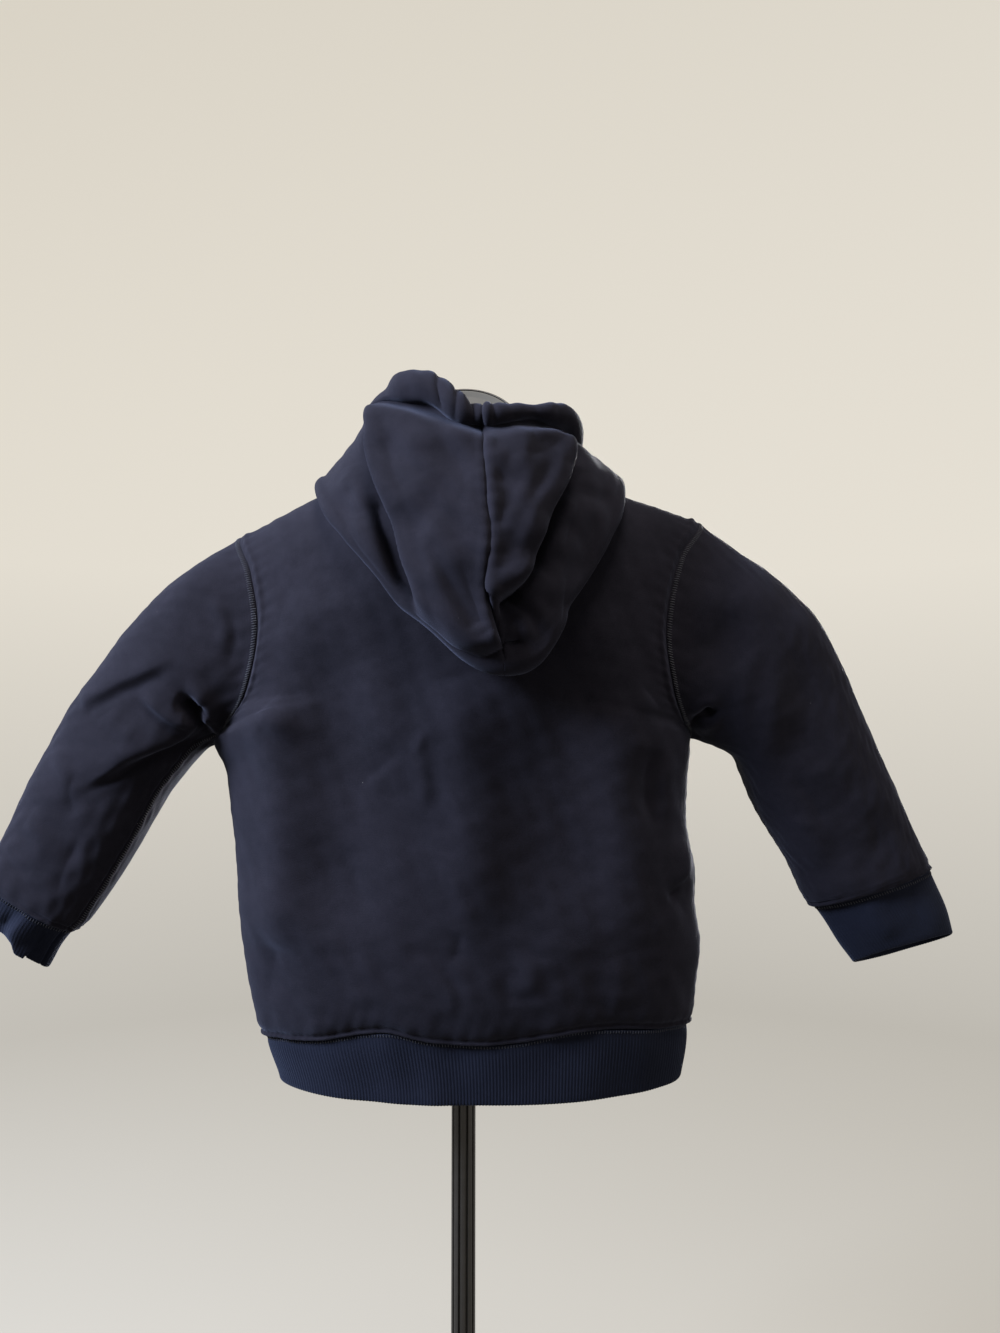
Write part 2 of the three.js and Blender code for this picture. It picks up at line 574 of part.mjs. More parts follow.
// The body's outer surface as points with normals, for laying the hood on it.
const bodySkin = ["left", "right"].flatMap((side) => ["back", "front"].flatMap((face) => {
  const steps = 40;
  const grid = Array.from({ length: steps + 1 }, (_, i) => Array.from({ length: steps + 1 }, (_, j) => {
    return bodyPoint(side, face, ((Math.PI / 2) * j) / steps, mix(0.5, 1, i / steps));
  }));
  const normals = gridNormals(grid, false, formAxis);
  return grid.flatMap((line, i) => line.map((point, j) => ({ point, normal: normals[i][j] })));
}));
function liftOffBody(point, rest) {
  for (let pass = 0; pass < 2; pass++) {
    let nearest = bodySkin[0];
    for (const spot of bodySkin) {
      if (spot.point.distanceToSquared(point) < nearest.point.distanceToSquared(point)) nearest = spot;
    }
    const clear = point.clone().sub(nearest.point).dot(nearest.normal);
    point.addScaledVector(nearest.normal, Math.max(0, rest - clear));
  }
  return point;
}
function hoodGrid(side) {
  const table = hood[side];
  const names = Object.keys(table[0]).filter((name) => name !== "turn");
  const lastTurn = table[table.length - 1].turn;
  const columns = Array.from({ length: hoodColumns }, (_, k) => (lastTurn * k) / (hoodColumns - 1));
  const lines = columns.map((degrees) => {
    const station = Object.fromEntries(names.map((name) => [name, column(table, "turn", name, degrees)]));
    const turn = radians(degrees);
    const leaning = (1 - ease(degrees / 120));
    return hoodProfile(station, turn).map(({ out, up, free }) => {
      const across = out * Math.sin(turn);
      const panel = column(middlePanel, "height", side, up);
      const visible = free === 1 && up > 268 && up < station.topUp - station.roll;
      const proud = visible ? middleProud * ease((panel + 3 - across) / 8) * Math.cos(turn) : 0;
      const shift = leanAt(up) * leaning * ease(free);
      const edge = degrees === 0 ? seamGap / 2 : 0;
      const bare = sideSign[side] * (across + edge);
      const clear = Math.max(Math.abs(bare), degrees > 90 ? hoodCentreGap : 0) * Math.sign(bare || 1);
      const place = new THREE.Vector3(clear + shift, (out + proud) * Math.cos(turn), hemAbove + up);
      return liftOffBody(place, hoodCloth / 2 + (free > 0 ? hoodRest : hoodSeam.rest));
    });
  });
  return lines[0].map((_, i) => lines.map((line) => line[i]));
}
function hoodPanel(side) {
  const grid = hoodGrid(side);
  const rows = grid.length;
  const normals = grid.map((line, i) => line.map((point, j) => {
    const up = grid[Math.min(i + 1, rows - 1)][j].clone().sub(grid[Math.max(i - 1, 0)][j]);
    const on = line[Math.min(j + 1, line.length - 1)].clone().sub(line[Math.max(j - 1, 0)]);
    const normal = up.cross(on);
    if (j === 0) normal.x = 0;
    return normal.normalize();
  }));
  const moved = (share) => grid.map((line, i) => line.map((p, j) => {
    const skin = p.clone().addScaledVector(normals[i][j], share * hoodCloth);
    return i < 1 ? skin : liftOffBody(skin, i < 2 ? hoodSeam.rest : hoodRest);
  }));
  return wallGeometry(moved(0.5), moved(-0.5));
}

// ---------------------------------------------------------------- the zip
// The centre front line at a height above the hem, with the rib band's sink below its seam.
function frontLine(height) {
  const rise = (height - ribSeam) / (zipTop + 5 - ribSeam);
  const depth = rise <= 0
    ? column(bodyDepth, "height", "front", height) - bandSink
    : -bodyPoint("left", "front", 0, rise).y;
  return new THREE.Vector3(centreLine(height), -depth, hemAbove + height);
}
function zipSide(side) {
  const rows = 20;
  const { edge, outer, chain, rise, thick, sunk } = zipTape;
  const section = [
    [edge, rise], [chain, rise], [chain + 0.5, thick], [outer, thick],
    [outer, 0], [chain + 0.5, 0], [chain, thick - rise - 0.2], [edge, thick - rise - 0.2],
  ];
  const rings = Array.from({ length: rows + 1 }, (_, k) => {
    const at = frontLine((zipTop * k) / rows);
    return section.map(([x, out]) => {
      return new THREE.Vector3(at.x + sideSign[side] * x, at.y - out + sunk, at.z);
    });
  });
  return ringsGeometry(rings);
}
// The slider and its pull are drawn upright round the bail's pivot, which faces -Y, and then set on the zip.
function zipFrame() {
  const [low, high] = [frontLine(zipTop - slider.long), frontLine(zipTop)];
  const lean = Math.atan2(high.y - low.y, high.z - low.z);
  const middle = low.clone().lerp(high, 0.5);
  return { middle, lean };
}
const box = (x0, x1, y0, y1, z0, z1) => new THREE.BoxGeometry(x1 - x0, y1 - y0, z1 - z0)
  .translate((x0 + x1) / 2, (y0 + y1) / 2, (z0 + z1) / 2);
function sliderGeometry() {
  const { half, long, thick, slot, capLong } = slider;
  const block = solidOf(box(-half, half, -thick / 2, thick / 2, -long / 2, long / 2 + capLong));
  const channel = solidOf(box(-half - 1, half + 1, -slot / 2, slot / 2, -long / 2 - 1, long / 2 + 0.5));
  const face = -thick / 2;
  const { half: bailHalf, long: bailLong, hole: bailHole, rise, crown } = bail;
  const arch = solidOf(box(-bailHalf, bailHalf, face - rise, face + 0.2, -bailLong / 2, bailLong / 2));
  const hole = solidOf(box(-half, half, face - rise + crown, face, -bailHole / 2, bailHole / 2));
  return geometryOf(block.subtract(channel).add(arch.subtract(hole)));
}
const pivotOut = slider.thick / 2 + (bail.rise - bail.crown) / 2; // middle of the bail's hole
function pullGeometry() {
  const { half, long, thick, bar, eyeHalf, eyeLong } = pull;
  const plate = solidOf(box(-half, half, -thick / 2, thick / 2, bar - long, bar));
  const eye = solidOf(box(-eyeHalf, eyeHalf, -2, 2, -bar - eyeLong, -bar));
  const grip = solidOf(box(-half + 1.4, half - 1.4, -2, 2, 3 - long, 9 - long));
  return geometryOf(plate.subtract(eye).subtract(grip));
}

// ---------------------------------------------------------------- form and stand
const shoulderUnder = (reach) => {
  const heights = ["left", "right"].map((side) => panelTop(side, "back", reach).height);
  return Math.min(...heights) - fleece - shoulderRest;
};
const formTurns = Array.from({ length: formSides }, (_, k) => (2 * Math.PI * k) / formSides);
function formRing({ half, back, front, height, sinkBack = 0, sinkFront = 0 }) {
  return formTurns.map((turn) => {
    const [c, s] = [Math.cos(turn), Math.sin(turn)];
    const round = (value) => Math.sign(value) * Math.abs(value) ** (2 / 2.2);
    const sink = (c > 0 ? sinkBack : sinkFront) * Math.abs(c) ** 1.5;
    return new THREE.Vector3(half * round(s), (c > 0 ? back : front) * round(c), hemAbove + height - sink);
  });
}
// A section of the neck, tilted back by some degrees round the pivot, and flared out in front low down.
function neckRing(degrees) {
  const tilt = radians(degrees);
  const flare = neck.flare * clamp01(1 - degrees / 34) ** 2;
  return formTurns.map((turn) => {
    const [c, s] = [Math.cos(turn), Math.sin(turn)];
    const radius = neck.radius + (flare * (1 - c)) / 2;
    const fromPivot = neck.pivotOut - radius * c;
    return new THREE.Vector3(
      radius * s,
      neck.pivotOut - fromPivot * Math.cos(tilt),
      hemAbove + neck.pivotHeight + fromPivot * Math.sin(tilt),
    );
  });
}
function formSolid() {
  const lower = form.map(formRing);
  const shoulders = yoke.map((row) => formRing({ ...row, height: shoulderUnder(row.half) }));
  const rings = [...lower, ...shoulders, ...[10, 20, 33, 47, neck.tilt].map(neckRing)];
  const bore = new THREE.CylinderGeometry(pole.radius + pole.slack, pole.radius + pole.slack,
    2 * (pole.intoForm + pole.slack), 24);
  bore.rotateX(Math.PI / 2).translate(0, 0, hemAbove + form[0].height);
  return geometryOf(solidOf(ringsGeometry(rings)).subtract(solidOf(bore)));
}
// A disc and its rim, drawn level on the cap's middle; the group below tips them onto the neck.
function lathe(profile, sides) {
  const points = [...profile, profile[0]].map(([r, z]) => new THREE.Vector2(r, z));
  return new THREE.LatheGeometry(points, sides).rotateX(Math.PI / 2);
}
function neckCapGeometry() {
  const r = neck.radius - capRim - seamGap;
  return lathe([[0, 0], [r, 0], [r, capThick - 0.6], [r - 1, capThick], [r - 5, capThick - 0.9],
    [0, capThick - 0.9]], 48);
}
function neckRimGeometry() {
  const r = neck.radius;
  return lathe([[r - capRim, 0], [r, 0], [r, capThick + 0.2], [r - capRim, capThick + 0.2]], 48);
}
function poleGeometry() {
  const shape = new THREE.Shape();
  const perFlute = 4;
  for (let k = 0; k < pole.flutes * perFlute; k++) {
    const turn = (2 * Math.PI * k) / (pole.flutes * perFlute);
    const radius = pole.radius - (k % perFlute === 0 ? pole.groove : 0);
    const place = [radius * Math.cos(turn), radius * Math.sin(turn)];
    if (k === 0) shape.moveTo(...place);
    else shape.lineTo(...place);
  }
  const depth = hemAbove + form[0].height + pole.intoForm - base.thick - seamGap;
  return new THREE.ExtrudeGeometry(shape, { depth, bevelEnabled: false })
    .translate(0, 0, base.thick + seamGap);
}
function baseGeometry() {
  const socket = pole.radius + pole.slack;
  return lathe([[0, 0], [base.radius, 0], [base.radius, base.edge], [base.radius - 3, base.thick],
    [base.collar + 6, base.thick + 1], [base.collar, base.thick + 6], [base.collar - 1.5, base.collarTop],
    [socket, base.collarTop], [socket, base.thick], [0, base.thick]], 64);
}

// ---------------------------------------------------------------- materials and assembly
const look = (color, roughness, metalness = 0) => {
  return new THREE.MeshStandardMaterial({ color, roughness, metalness });
};
const fleeceLook = look("#1f2230", 0.92);
const ribLook = look("#1d2437", 0.94);
const tapeLook = look("#1b2030", 0.85);
const metalLook = look("#8d8f92", 0.35, 1);
const formLook = look("#b9b4a8", 0.8);
const capLook = look("#a8a398", 0.5);
const blackLook = look("#2a2826", 0.4, 0.6);

const part = new THREE.Group();
const add = (name, geometry, material, parent = part) => {
  const mesh = new THREE.Mesh(geometry, material);
  mesh.name = name;
  parent.add(mesh);
};
add("back_panel", backPanel(), fleeceLook);
add("hem_rib", ribBand(), ribLook);
for (const side of ["left", "right"]) {
  add(`front_${side}`, frontPanel(side), fleeceLook);
  add(`sleeve_${side}`, sleeveSolid(side), fleeceLook);
  add(`cuff_${side}`, cuffSolid(side), ribLook);
  add(`hood_${side}`, hoodPanel(side), fleeceLook);
  add(`zip_${side}`, zipSide(side), tapeLook);
}

const onZip = new THREE.Group();
const { middle, lean } = zipFrame();
onZip.position.copy(middle).y += zipTape.sunk - zipTape.thick / 2;
onZip.rotation.x = -lean;
add("zip_slider", sliderGeometry(), metalLook, onZip);
const onBail = new THREE.Group();
onBail.position.y = -pivotOut;
add("zip_pull", pullGeometry(), metalLook, onBail);
onZip.add(onBail);
part.add(onZip);

add("dress_form", formSolid(), formLook);
const onNeck = new THREE.Group();
const capTilt = radians(neck.tilt);
onNeck.position.set(
  0,
  neck.pivotOut * (1 - Math.cos(capTilt)),
  hemAbove + neck.pivotHeight + neck.pivotOut * Math.sin(capTilt),
);
onNeck.rotation.x = -capTilt;
onNeck.translateZ(seamGap);
add("neck_cap", neckCapGeometry(), capLook, onNeck);
add("neck_rim", neckRimGeometry(), blackLook, onNeck);
part.add(onNeck);
add("stand_pole", poleGeometry(), blackLook);
add("stand_base", baseGeometry(), blackLook);

export default part;
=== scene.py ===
# A child's navy zip-up hoodie on a limbless dress form: cloth, seams, stitching, zip and stand, built round
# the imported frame. Garment tables are in millimetres, with heights measured up from the hem's lower edge.
import math

import bmesh
import bpy
import numpy as np
from mathutils import Matrix, Vector, kdtree

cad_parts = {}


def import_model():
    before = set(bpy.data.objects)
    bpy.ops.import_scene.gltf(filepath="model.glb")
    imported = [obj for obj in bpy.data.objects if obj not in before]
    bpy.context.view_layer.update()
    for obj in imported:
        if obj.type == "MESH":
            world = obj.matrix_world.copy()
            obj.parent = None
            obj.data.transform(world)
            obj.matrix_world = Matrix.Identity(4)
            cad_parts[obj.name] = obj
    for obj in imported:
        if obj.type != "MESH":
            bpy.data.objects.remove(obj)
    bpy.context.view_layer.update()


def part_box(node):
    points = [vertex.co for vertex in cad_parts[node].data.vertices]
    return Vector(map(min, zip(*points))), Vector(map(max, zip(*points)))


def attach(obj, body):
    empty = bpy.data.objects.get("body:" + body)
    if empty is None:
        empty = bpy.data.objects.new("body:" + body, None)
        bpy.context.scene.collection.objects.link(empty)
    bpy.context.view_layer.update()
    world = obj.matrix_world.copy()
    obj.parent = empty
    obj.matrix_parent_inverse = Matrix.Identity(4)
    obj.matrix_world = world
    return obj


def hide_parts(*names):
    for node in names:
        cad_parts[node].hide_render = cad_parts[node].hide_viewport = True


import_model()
scene = bpy.context.scene
mm = 0.001
hemAbove = round(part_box("hem_rib")[0].z / mm)  # floor to the hem's lower edge
garmentBody = "hoodie_on_form"
pullBody = "pull"
sideSign = {"left": 1, "right": -1}
faceSign = {"back": 1, "front": -1}
chance = np.random.default_rng(41)
print("frame loaded")


def mix(a, b, share):
    return a + (b - a) * share


def ease(value):
    value = np.clip(value, 0, 1)
    return value * value * (3 - 2 * value)


def bell(distance, width):
    return np.exp(-((distance / width) ** 2))


def table(names, *rows):
    return {name: np.array(values, float) for name, values in zip(names.split(), zip(*rows))}


# A smooth curve through values at knots, read off at the places given.
def spline(knots, values, at, openEnds=False):
    at = np.clip(at, knots[0], knots[-1])
    extra = (1,) * (values.ndim - 1)
    slopes = np.zeros_like(values)
    if openEnds:
        slopes[0] = (values[1] - values[0]) / (knots[1] - knots[0])
        slopes[-1] = (values[-1] - values[-2]) / (knots[-1] - knots[-2])
    slopes[1:-1] = (values[2:] - values[:-2]) / (knots[2:] - knots[:-2]).reshape((-1,) + extra)
    i = np.clip(np.searchsorted(knots, at, side="right") - 1, 0, len(knots) - 2)
    span = (knots[i + 1] - knots[i]).reshape(at.shape + extra)
    t = (at - knots[i]).reshape(at.shape + extra) / span
    p, q, m, n = values[i], values[i + 1], slopes[i] * span, slopes[i + 1] * span
    return ((2 * t**3 - 3 * t**2 + 1) * p + (t**3 - 2 * t**2 + t) * m
            + (3 * t**2 - 2 * t**3) * q + (t**3 - t**2) * n)


def column(rows, by, name, at):
    return spline(rows[by], rows[name], np.asarray(at, float))


def runLength(points):
    steps = np.linalg.norm(np.diff(points, axis=0), axis=-1)
    return np.concatenate([np.zeros((1,) + steps.shape[1:]), np.cumsum(steps, axis=0)])


def unit(vectors):
    return vectors / np.maximum(np.linalg.norm(vectors, axis=-1, keepdims=True), 1e-9)


# Normals of a grid of points, on the side that faces away from the middle of each row.
def normalsOf(grid, wrap=False, middle=None):
    if wrap:
        along = np.roll(grid, -1, 1) - np.roll(grid, 1, 1)
    else:
        along = np.gradient(grid, axis=1)
    normals = unit(np.cross(along, np.gradient(grid, axis=0)))
    middle = grid.mean(1, keepdims=True) if middle is None else np.array(middle)
    flipped = (normals * (grid - middle)).sum() < 0
    return (-normals if flipped else normals), flipped


# How far points lie from a drawn line: the distance, signed by side, and the share of the way along.
def fromLine(x, h, points):
    points = np.array(points, float)
    if len(points) > 2:
        knots = runLength(points)
        points = spline(knots, points, np.linspace(0, knots[-1], 8 * (len(points) - 1) + 1))
    a, d = points[:-1], np.diff(points, axis=0)
    px = x.reshape(-1, 1) - a[:, 0]
    ph = h.reshape(-1, 1) - a[:, 1]
    t = np.clip((px * d[:, 0] + ph * d[:, 1]) / np.maximum((d**2).sum(1), 1e-9), 0, 1)
    off = np.hypot(px - t * d[:, 0], ph - t * d[:, 1])
    k = off.argmin(1)
    each = np.arange(len(k))
    side = np.sign(d[k, 0] * ph[each, k] - d[k, 1] * px[each, k])
    along = (k + t[each, k]) / len(d)
    return (off[each, k] * side).reshape(x.shape), along.reshape(x.shape)


usualFade = (0.35, 0.35)


# The height that one drawn fold adds. A ridge is soft on both sides, a crease is a narrow trough, a fold
# is steep on the right of its line's direction and gentle on its left, and a pit has round ends.
def foldHeight(x, h, kind, points, height, width, fade=usualFade, steep=0.35):
    pts = np.array(points, float)
    reach = 4 * width
    near = ((x > pts[:, 0].min() - reach) & (x < pts[:, 0].max() + reach)
            & (h > pts[:, 1].min() - reach) & (h < pts[:, 1].max() + reach))
    added = np.zeros_like(x)
    if not near.any():
        return added
    off, along = fromLine(x[near], h[near], points)
    ends = ease(along / fade[0]) * ease((1 - along) / fade[1])
    if kind == "ridge":
        added[near] = height * bell(off, width) * ends
    elif kind == "crease":
        added[near] = -height * np.exp(-((np.abs(off) / width) ** 1.3)) * ends
    elif kind == "pit":
        added[near] = -height * bell(off, width)
    else:
        sharp = width * steep
        gentle = height * bell(off, width)
        dip = 0.35 * height * bell(off + 1.9 * sharp, sharp)
        added[near] = np.where(off > 0, gentle, height * bell(off, sharp) - dip) * ends
    return added


# Adds up a table of folds. A row has the kind, the points, the height and the width, then where needed the
# shares of the length that fade at the two ends, and how narrow a fold's steep side is.
def foldsOn(x, h, folds):
    return sum((foldHeight(x, h, *fold) for fold in folds), np.zeros_like(x))


# Broad unevenness of hanging cloth: a few slow waves in different directions.
def unevenness(x, h, height, spans=(46, 95), waves=9):
    total = np.zeros_like(x)
    for _ in range(waves):
        turn, shift = chance.uniform(0, math.pi), chance.uniform(0, 2 * math.pi)
        rate = 2 * math.pi / chance.uniform(*spans)
        total += np.sin((x * math.cos(turn) + h * math.sin(turn)) * rate + shift)
    return height * total / math.sqrt(waves)


# Small puckers that a line of stitching pulls into the cloth beside it.
def puckers(along, off, height, reach=9, pitch=7):
    shift = chance.uniform(0, 2 * math.pi)
    wave = np.sin(along * 2 * math.pi / pitch + shift + 1.3 * np.sin(along / (2.1 * pitch)))
    return height * wave * np.exp(-((np.abs(off) / reach) ** 1.5))


def world(points):
    return (points + np.array([0, 0, hemAbove])) * mm


def clothUv(grid, wrap=False):
    wide = np.concatenate([grid, grid[:, :1]], axis=1) if wrap else grid
    u = runLength(np.moveaxis(wide, 1, 0)).T
    v = runLength(wide)
    return np.stack([u - u[:, u.shape[1] // 2, None], v], -1) * mm


# The four corners of every face of a grid.
def cornersOf(grid):
    return np.stack([grid[:-1, :-1], grid[:-1, 1:], grid[1:, 1:], grid[1:, :-1]], 2)


def quadsOf(rows, cols, wrap=False):
    index = np.arange(rows * cols).reshape(rows, cols)
    return cornersOf(np.hstack([index, index[:, :1]]) if wrap else index)


def finishPiece(piece, material, body=garmentBody):
    piece.data.materials.append(material)
    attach(piece, body)
    return piece


def linkMesh(name, mesh, smooth=True):
    mesh.polygons.foreach_set("use_smooth", np.full(len(mesh.polygons), smooth))
    mesh.update()
    piece = bpy.data.objects.new(name, mesh)
    scene.collection.objects.link(piece)
    return piece


def meshObject(name, points, faces, corners=None):
    mesh = bpy.data.meshes.new(name)
    mesh.from_pydata(points.reshape(-1, 3).tolist(), [], faces.reshape(-1, faces.shape[-1]).tolist())
    if corners is not None:
        layer = mesh.uv_layers.new(name="cloth")
        layer.data.foreach_set("uv", corners.reshape(-1).astype(np.float32))
    return linkMesh(name, mesh)


def gridObject(name, grid, uv, wrap, flipped):
    quads, corners = quadsOf(*grid.shape[:2], wrap), cornersOf(uv)
    if flipped:
        quads, corners = quads[..., ::-1], corners[:, :, ::-1]
    return meshObject(name, world(grid), quads, corners)


# A piece of cloth from a grid of points on its outer face, or on its middle with offset 0.
def clothObject(name, grid, thick, wrap=False, flipped=False, offset=-1):
    piece = gridObject(name, grid, clothUv(grid, wrap), wrap, flipped)
    wall = piece.modifiers.new("thickness", "SOLIDIFY")
    wall.thickness = thick * mm
    wall.offset = offset
    return piece


# Short threads, each an arched capsule from one point to the other, joined in one mesh.
def threadObject(name, starts, ends, normals, radius, arch, material, sides=5, rings=5):
    run = unit(ends - starts)
    up = unit(normals - run * (normals * run).sum(1, keepdims=True))
    across = np.cross(run, up)
    share = np.linspace(0, 1, rings)
    fat = np.sqrt(np.clip(1 - (2 * share - 1) ** 4, 0.06, 1)) * radius
    lift = np.sin(share * math.pi) * arch
    turns = np.arange(sides) * 2 * math.pi / sides
    centre = mix(starts[:, None], ends[:, None], share[None, :, None]) + up[:, None] * lift[None, :, None]
    ring = (np.cos(turns)[:, None] * across[:, None, None] + np.sin(turns)[:, None] * up[:, None, None])
    points = centre[:, :, None] + ring * fat[None, :, None, None]
    quads = quadsOf(rings, sides, wrap=True).reshape(-1, 4)
    each = rings * sides
    faces = (np.arange(len(starts)) * each)[:, None, None] + quads[None]
    faces = [list(f) for f in faces.reshape(-1, 4)]
    cap = np.arange(sides)
    for k in range(len(starts)):
        faces.append((cap[::-1] + k * each).tolist())
        faces.append((cap + k * each + each - sides).tolist())
    mesh = bpy.data.meshes.new(name)
    mesh.from_pydata(world(points.reshape(-1, 3)).tolist(), [], faces)
    return finishPiece(linkMesh(name, mesh), material)


# Reads a grid between its points, at fractional rows and columns.
def readGrid(grid, i, j, wrap=False):
    if wrap:
        grid = np.concatenate([grid, grid[:, :1]], axis=1)
        j = np.mod(j, grid.shape[1] - 1)
    i = np.clip(i, 0, grid.shape[0] - 1.001)
    j = np.clip(j, 0, grid.shape[1] - 1.001)
    i0, j0 = i.astype(int), j.astype(int)
    a, b = (i - i0)[:, None], (j - j0)[:, None]
    low = mix(grid[i0, j0], grid[i0, j0 + 1], b)
    high = mix(grid[i0 + 1, j0], grid[i0 + 1, j0 + 1], b)
    return mix(low, high, a)


# Evenly spaced places along a line drawn over a grid by its rows and columns.
def spacedOn(grid, i, j, pitch, wrap=False):
    places = runLength(readGrid(grid, i, j, wrap))
    count = max(2, int(places[-1] / pitch))
    at = np.linspace(0, places[-1], count)
    return np.interp(at, places, i), np.interp(at, places, j)


# Materials. Node groups put out only values; each material keeps its own shader.
def newGroup(name, inputs, outputs):
    group = bpy.data.node_groups.new(name, "ShaderNodeTree")
    for label, kind, value in inputs:
        socket = group.interface.new_socket(label, in_out="INPUT", socket_type=kind)
        if value is not None:
            socket.default_value = value
    for label, kind in outputs:
        group.interface.new_socket(label, in_out="OUTPUT", socket_type=kind)
    return group, group.nodes.new("NodeGroupInput"), group.nodes.new("NodeGroupOutput")


def addNode(tree, kind, values=None, **settings):
    node = tree.nodes.new(kind)
    for name, value in settings.items():
        setattr(node, name, value)
    for name, value in (values or {}).items():
        if isinstance(value, bpy.types.NodeSocket):
            tree.links.new(value, node.inputs[name])
        else:
            node.inputs[name].default_value = value
    return node


def sums(tree, operation, *values):
    node = addNode(tree, "ShaderNodeMath", dict(enumerate(values)), operation=operation)
    return node.outputs[0]


def noise(tree, place, scale, detail, roughness=0.5):
    values = {"Vector": place, "Scale": scale, "Detail": detail, "Roughness": roughness}
    return addNode(tree, "ShaderNodeTexNoise", values).outputs["Fac"]


# A value taken from a range to the one from 0 to 1.
def scaled(tree, value, low, high):
    values = {"Value": value, "From Min": low, "From Max": high}
    return addNode(tree, "ShaderNodeMapRange", values).outputs["Result"]


def ownPlace(tree):
    return addNode(tree, "ShaderNodeTexCoord").outputs["Object"]


def putOut(group, end, **values):
    for name, value in values.items():
        group.links.new(value, end.inputs[name])
    return group


# The face of a fine knit: upright wales, each a column of small slanted loops.
def makeKnitGroup():
    group, start, end = newGroup("knitFace", [
        ("Cloth", "NodeSocketVector", None), ("Wales", "NodeSocketFloat", 900.0),
        ("Courses", "NodeSocketFloat", 800.0), ("Slant", "NodeSocketFloat", 0.7),
    ], [("Height", "NodeSocketFloat"), ("Gaps", "NodeSocketFloat")])
    split = addNode(group, "ShaderNodeSeparateXYZ", {"Vector": start.outputs["Cloth"]})
    across = sums(group, "MULTIPLY", split.outputs["X"], start.outputs["Wales"])
    along = sums(group, "MULTIPLY", split.outputs["Y"], start.outputs["Courses"])
    saw = sums(group, "PINGPONG", across, 0.5)
    rounded = sums(group, "SINE", sums(group, "MULTIPLY", saw, 2 * math.pi))
    slanted = sums(group, "ADD", along, sums(group, "MULTIPLY", saw, start.outputs["Slant"]))
    loops = sums(group, "SINE", sums(group, "MULTIPLY", slanted, 2 * math.pi))
    loopHeight = sums(group, "MULTIPLY", sums(group, "MULTIPLY_ADD", loops, 0.5, 0.5), rounded)
    height = sums(group, "MULTIPLY_ADD", rounded, 0.55, sums(group, "MULTIPLY", loopHeight, 0.45))
    # Gaps, highest between the loops, is used as painted shade in the knit's hollows.
    return putOut(group, end, Height=height, Gaps=sums(group, "SUBTRACT", 1.0, height))


# Unevenness of dyed and brushed cotton: slow patches, short fuzz and a few pale specks of lint.
def makeCottonGroup():
    group, start, end = newGroup("cottonSurface", [
        ("Place", "NodeSocketVector", None), ("Patch Scale", "NodeSocketFloat", 28.0),
        ("Fuzz Scale", "NodeSocketFloat", 1500.0), ("Lint Scale", "NodeSocketFloat", 150.0),
        ("Lint Amount", "NodeSocketFloat", 0.5),
    ], [("Patches", "NodeSocketFloat"), ("Fuzz", "NodeSocketFloat"), ("Lint", "NodeSocketFloat")])
    place = start.outputs["Place"]
    patches = noise(group, place, start.outputs["Patch Scale"], 5.0, 0.62)
    fuzz = noise(group, place, start.outputs["Fuzz Scale"], 3.0, 0.7)
    specks = addNode(group, "ShaderNodeTexVoronoi", {
        "Vector": place, "Scale": start.outputs["Lint Scale"], "Randomness": 1.0})
    dot = scaled(group, specks.outputs["Distance"], 0.045, 0.02)
    rare = addNode(group, "ShaderNodeSeparateXYZ", {"Vector": specks.outputs["Color"]})
    share = sums(group, "MULTIPLY", start.outputs["Lint Amount"], 0.12)
    lint = sums(group, "MULTIPLY", dot, sums(group, "LESS_THAN", rare.outputs["X"], share))
    return putOut(group, end, Patches=patches, Fuzz=fuzz, Lint=lint)


# Soft scuffs and dust for hard surfaces.
def makeScuffGroup():
    group, start, end = newGroup("scuffs", [
        ("Place", "NodeSocketVector", None), ("Scale", "NodeSocketFloat", 60.0),
    ], [("Clouds", "NodeSocketFloat"), ("Scratches", "NodeSocketFloat")])
    clouds = noise(group, start.outputs["Place"], start.outputs["Scale"], 6.0, 0.6)
    stretched = addNode(group, "ShaderNodeVectorMath", {0: start.outputs["Place"], 1: (1.0, 1.0, 0.06)},
                        operation="MULTIPLY")
    return putOut(group, end, Clouds=clouds, Scratches=noise(group, stretched.outputs[0], 900.0, 2.0))


knitFace = makeKnitGroup()
cottonSurface = makeCottonGroup()
scuffs = makeScuffGroup()


def newMaterial(name, roughness, metallic=0.0, **sockets):
    material = bpy.data.materials.new(name)
    material.use_nodes = True
    tree = material.node_tree
    shader = tree.nodes["Principled BSDF"]
    shader.inputs["Roughness"].default_value = roughness
    shader.inputs["Metallic"].default_value = metallic
    for label, value in sockets.items():
        shader.inputs[label.replace("_", " ")].default_value = value
    return material, tree, shader


def useGroup(tree, group, values):
    return addNode(tree, "ShaderNodeGroup", values, node_tree=group)


# A colour between two, the first of which may come from another node.
def colourBetween(tree, low, high, share):
    low = low if isinstance(low, bpy.types.NodeSocket) else (*low, 1)
    values = {"A": low, "B": (*high, 1), "Factor": share}
    return addNode(tree, "ShaderNodeMix", values, data_type="RGBA").outputs["Result"]


def bumpOn(tree, height, strength, distance, normal=None):
    values = {"Height": height, "Strength": strength, "Distance": distance}
    if normal is not None:
        values["Normal"] = normal
    return addNode(tree, "ShaderNodeBump", values).outputs["Normal"]


fleeceLook = {
    "dark": (0.0054, 0.0049, 0.0079), "light": (0.0134, 0.0120, 0.0176), "lint": (0.16, 0.15, 0.15),
    "wales": 800.0, "courses": 640.0, "sheen": 0.10, "sheenTint": (0.55, 0.62, 0.9, 1.0),
}


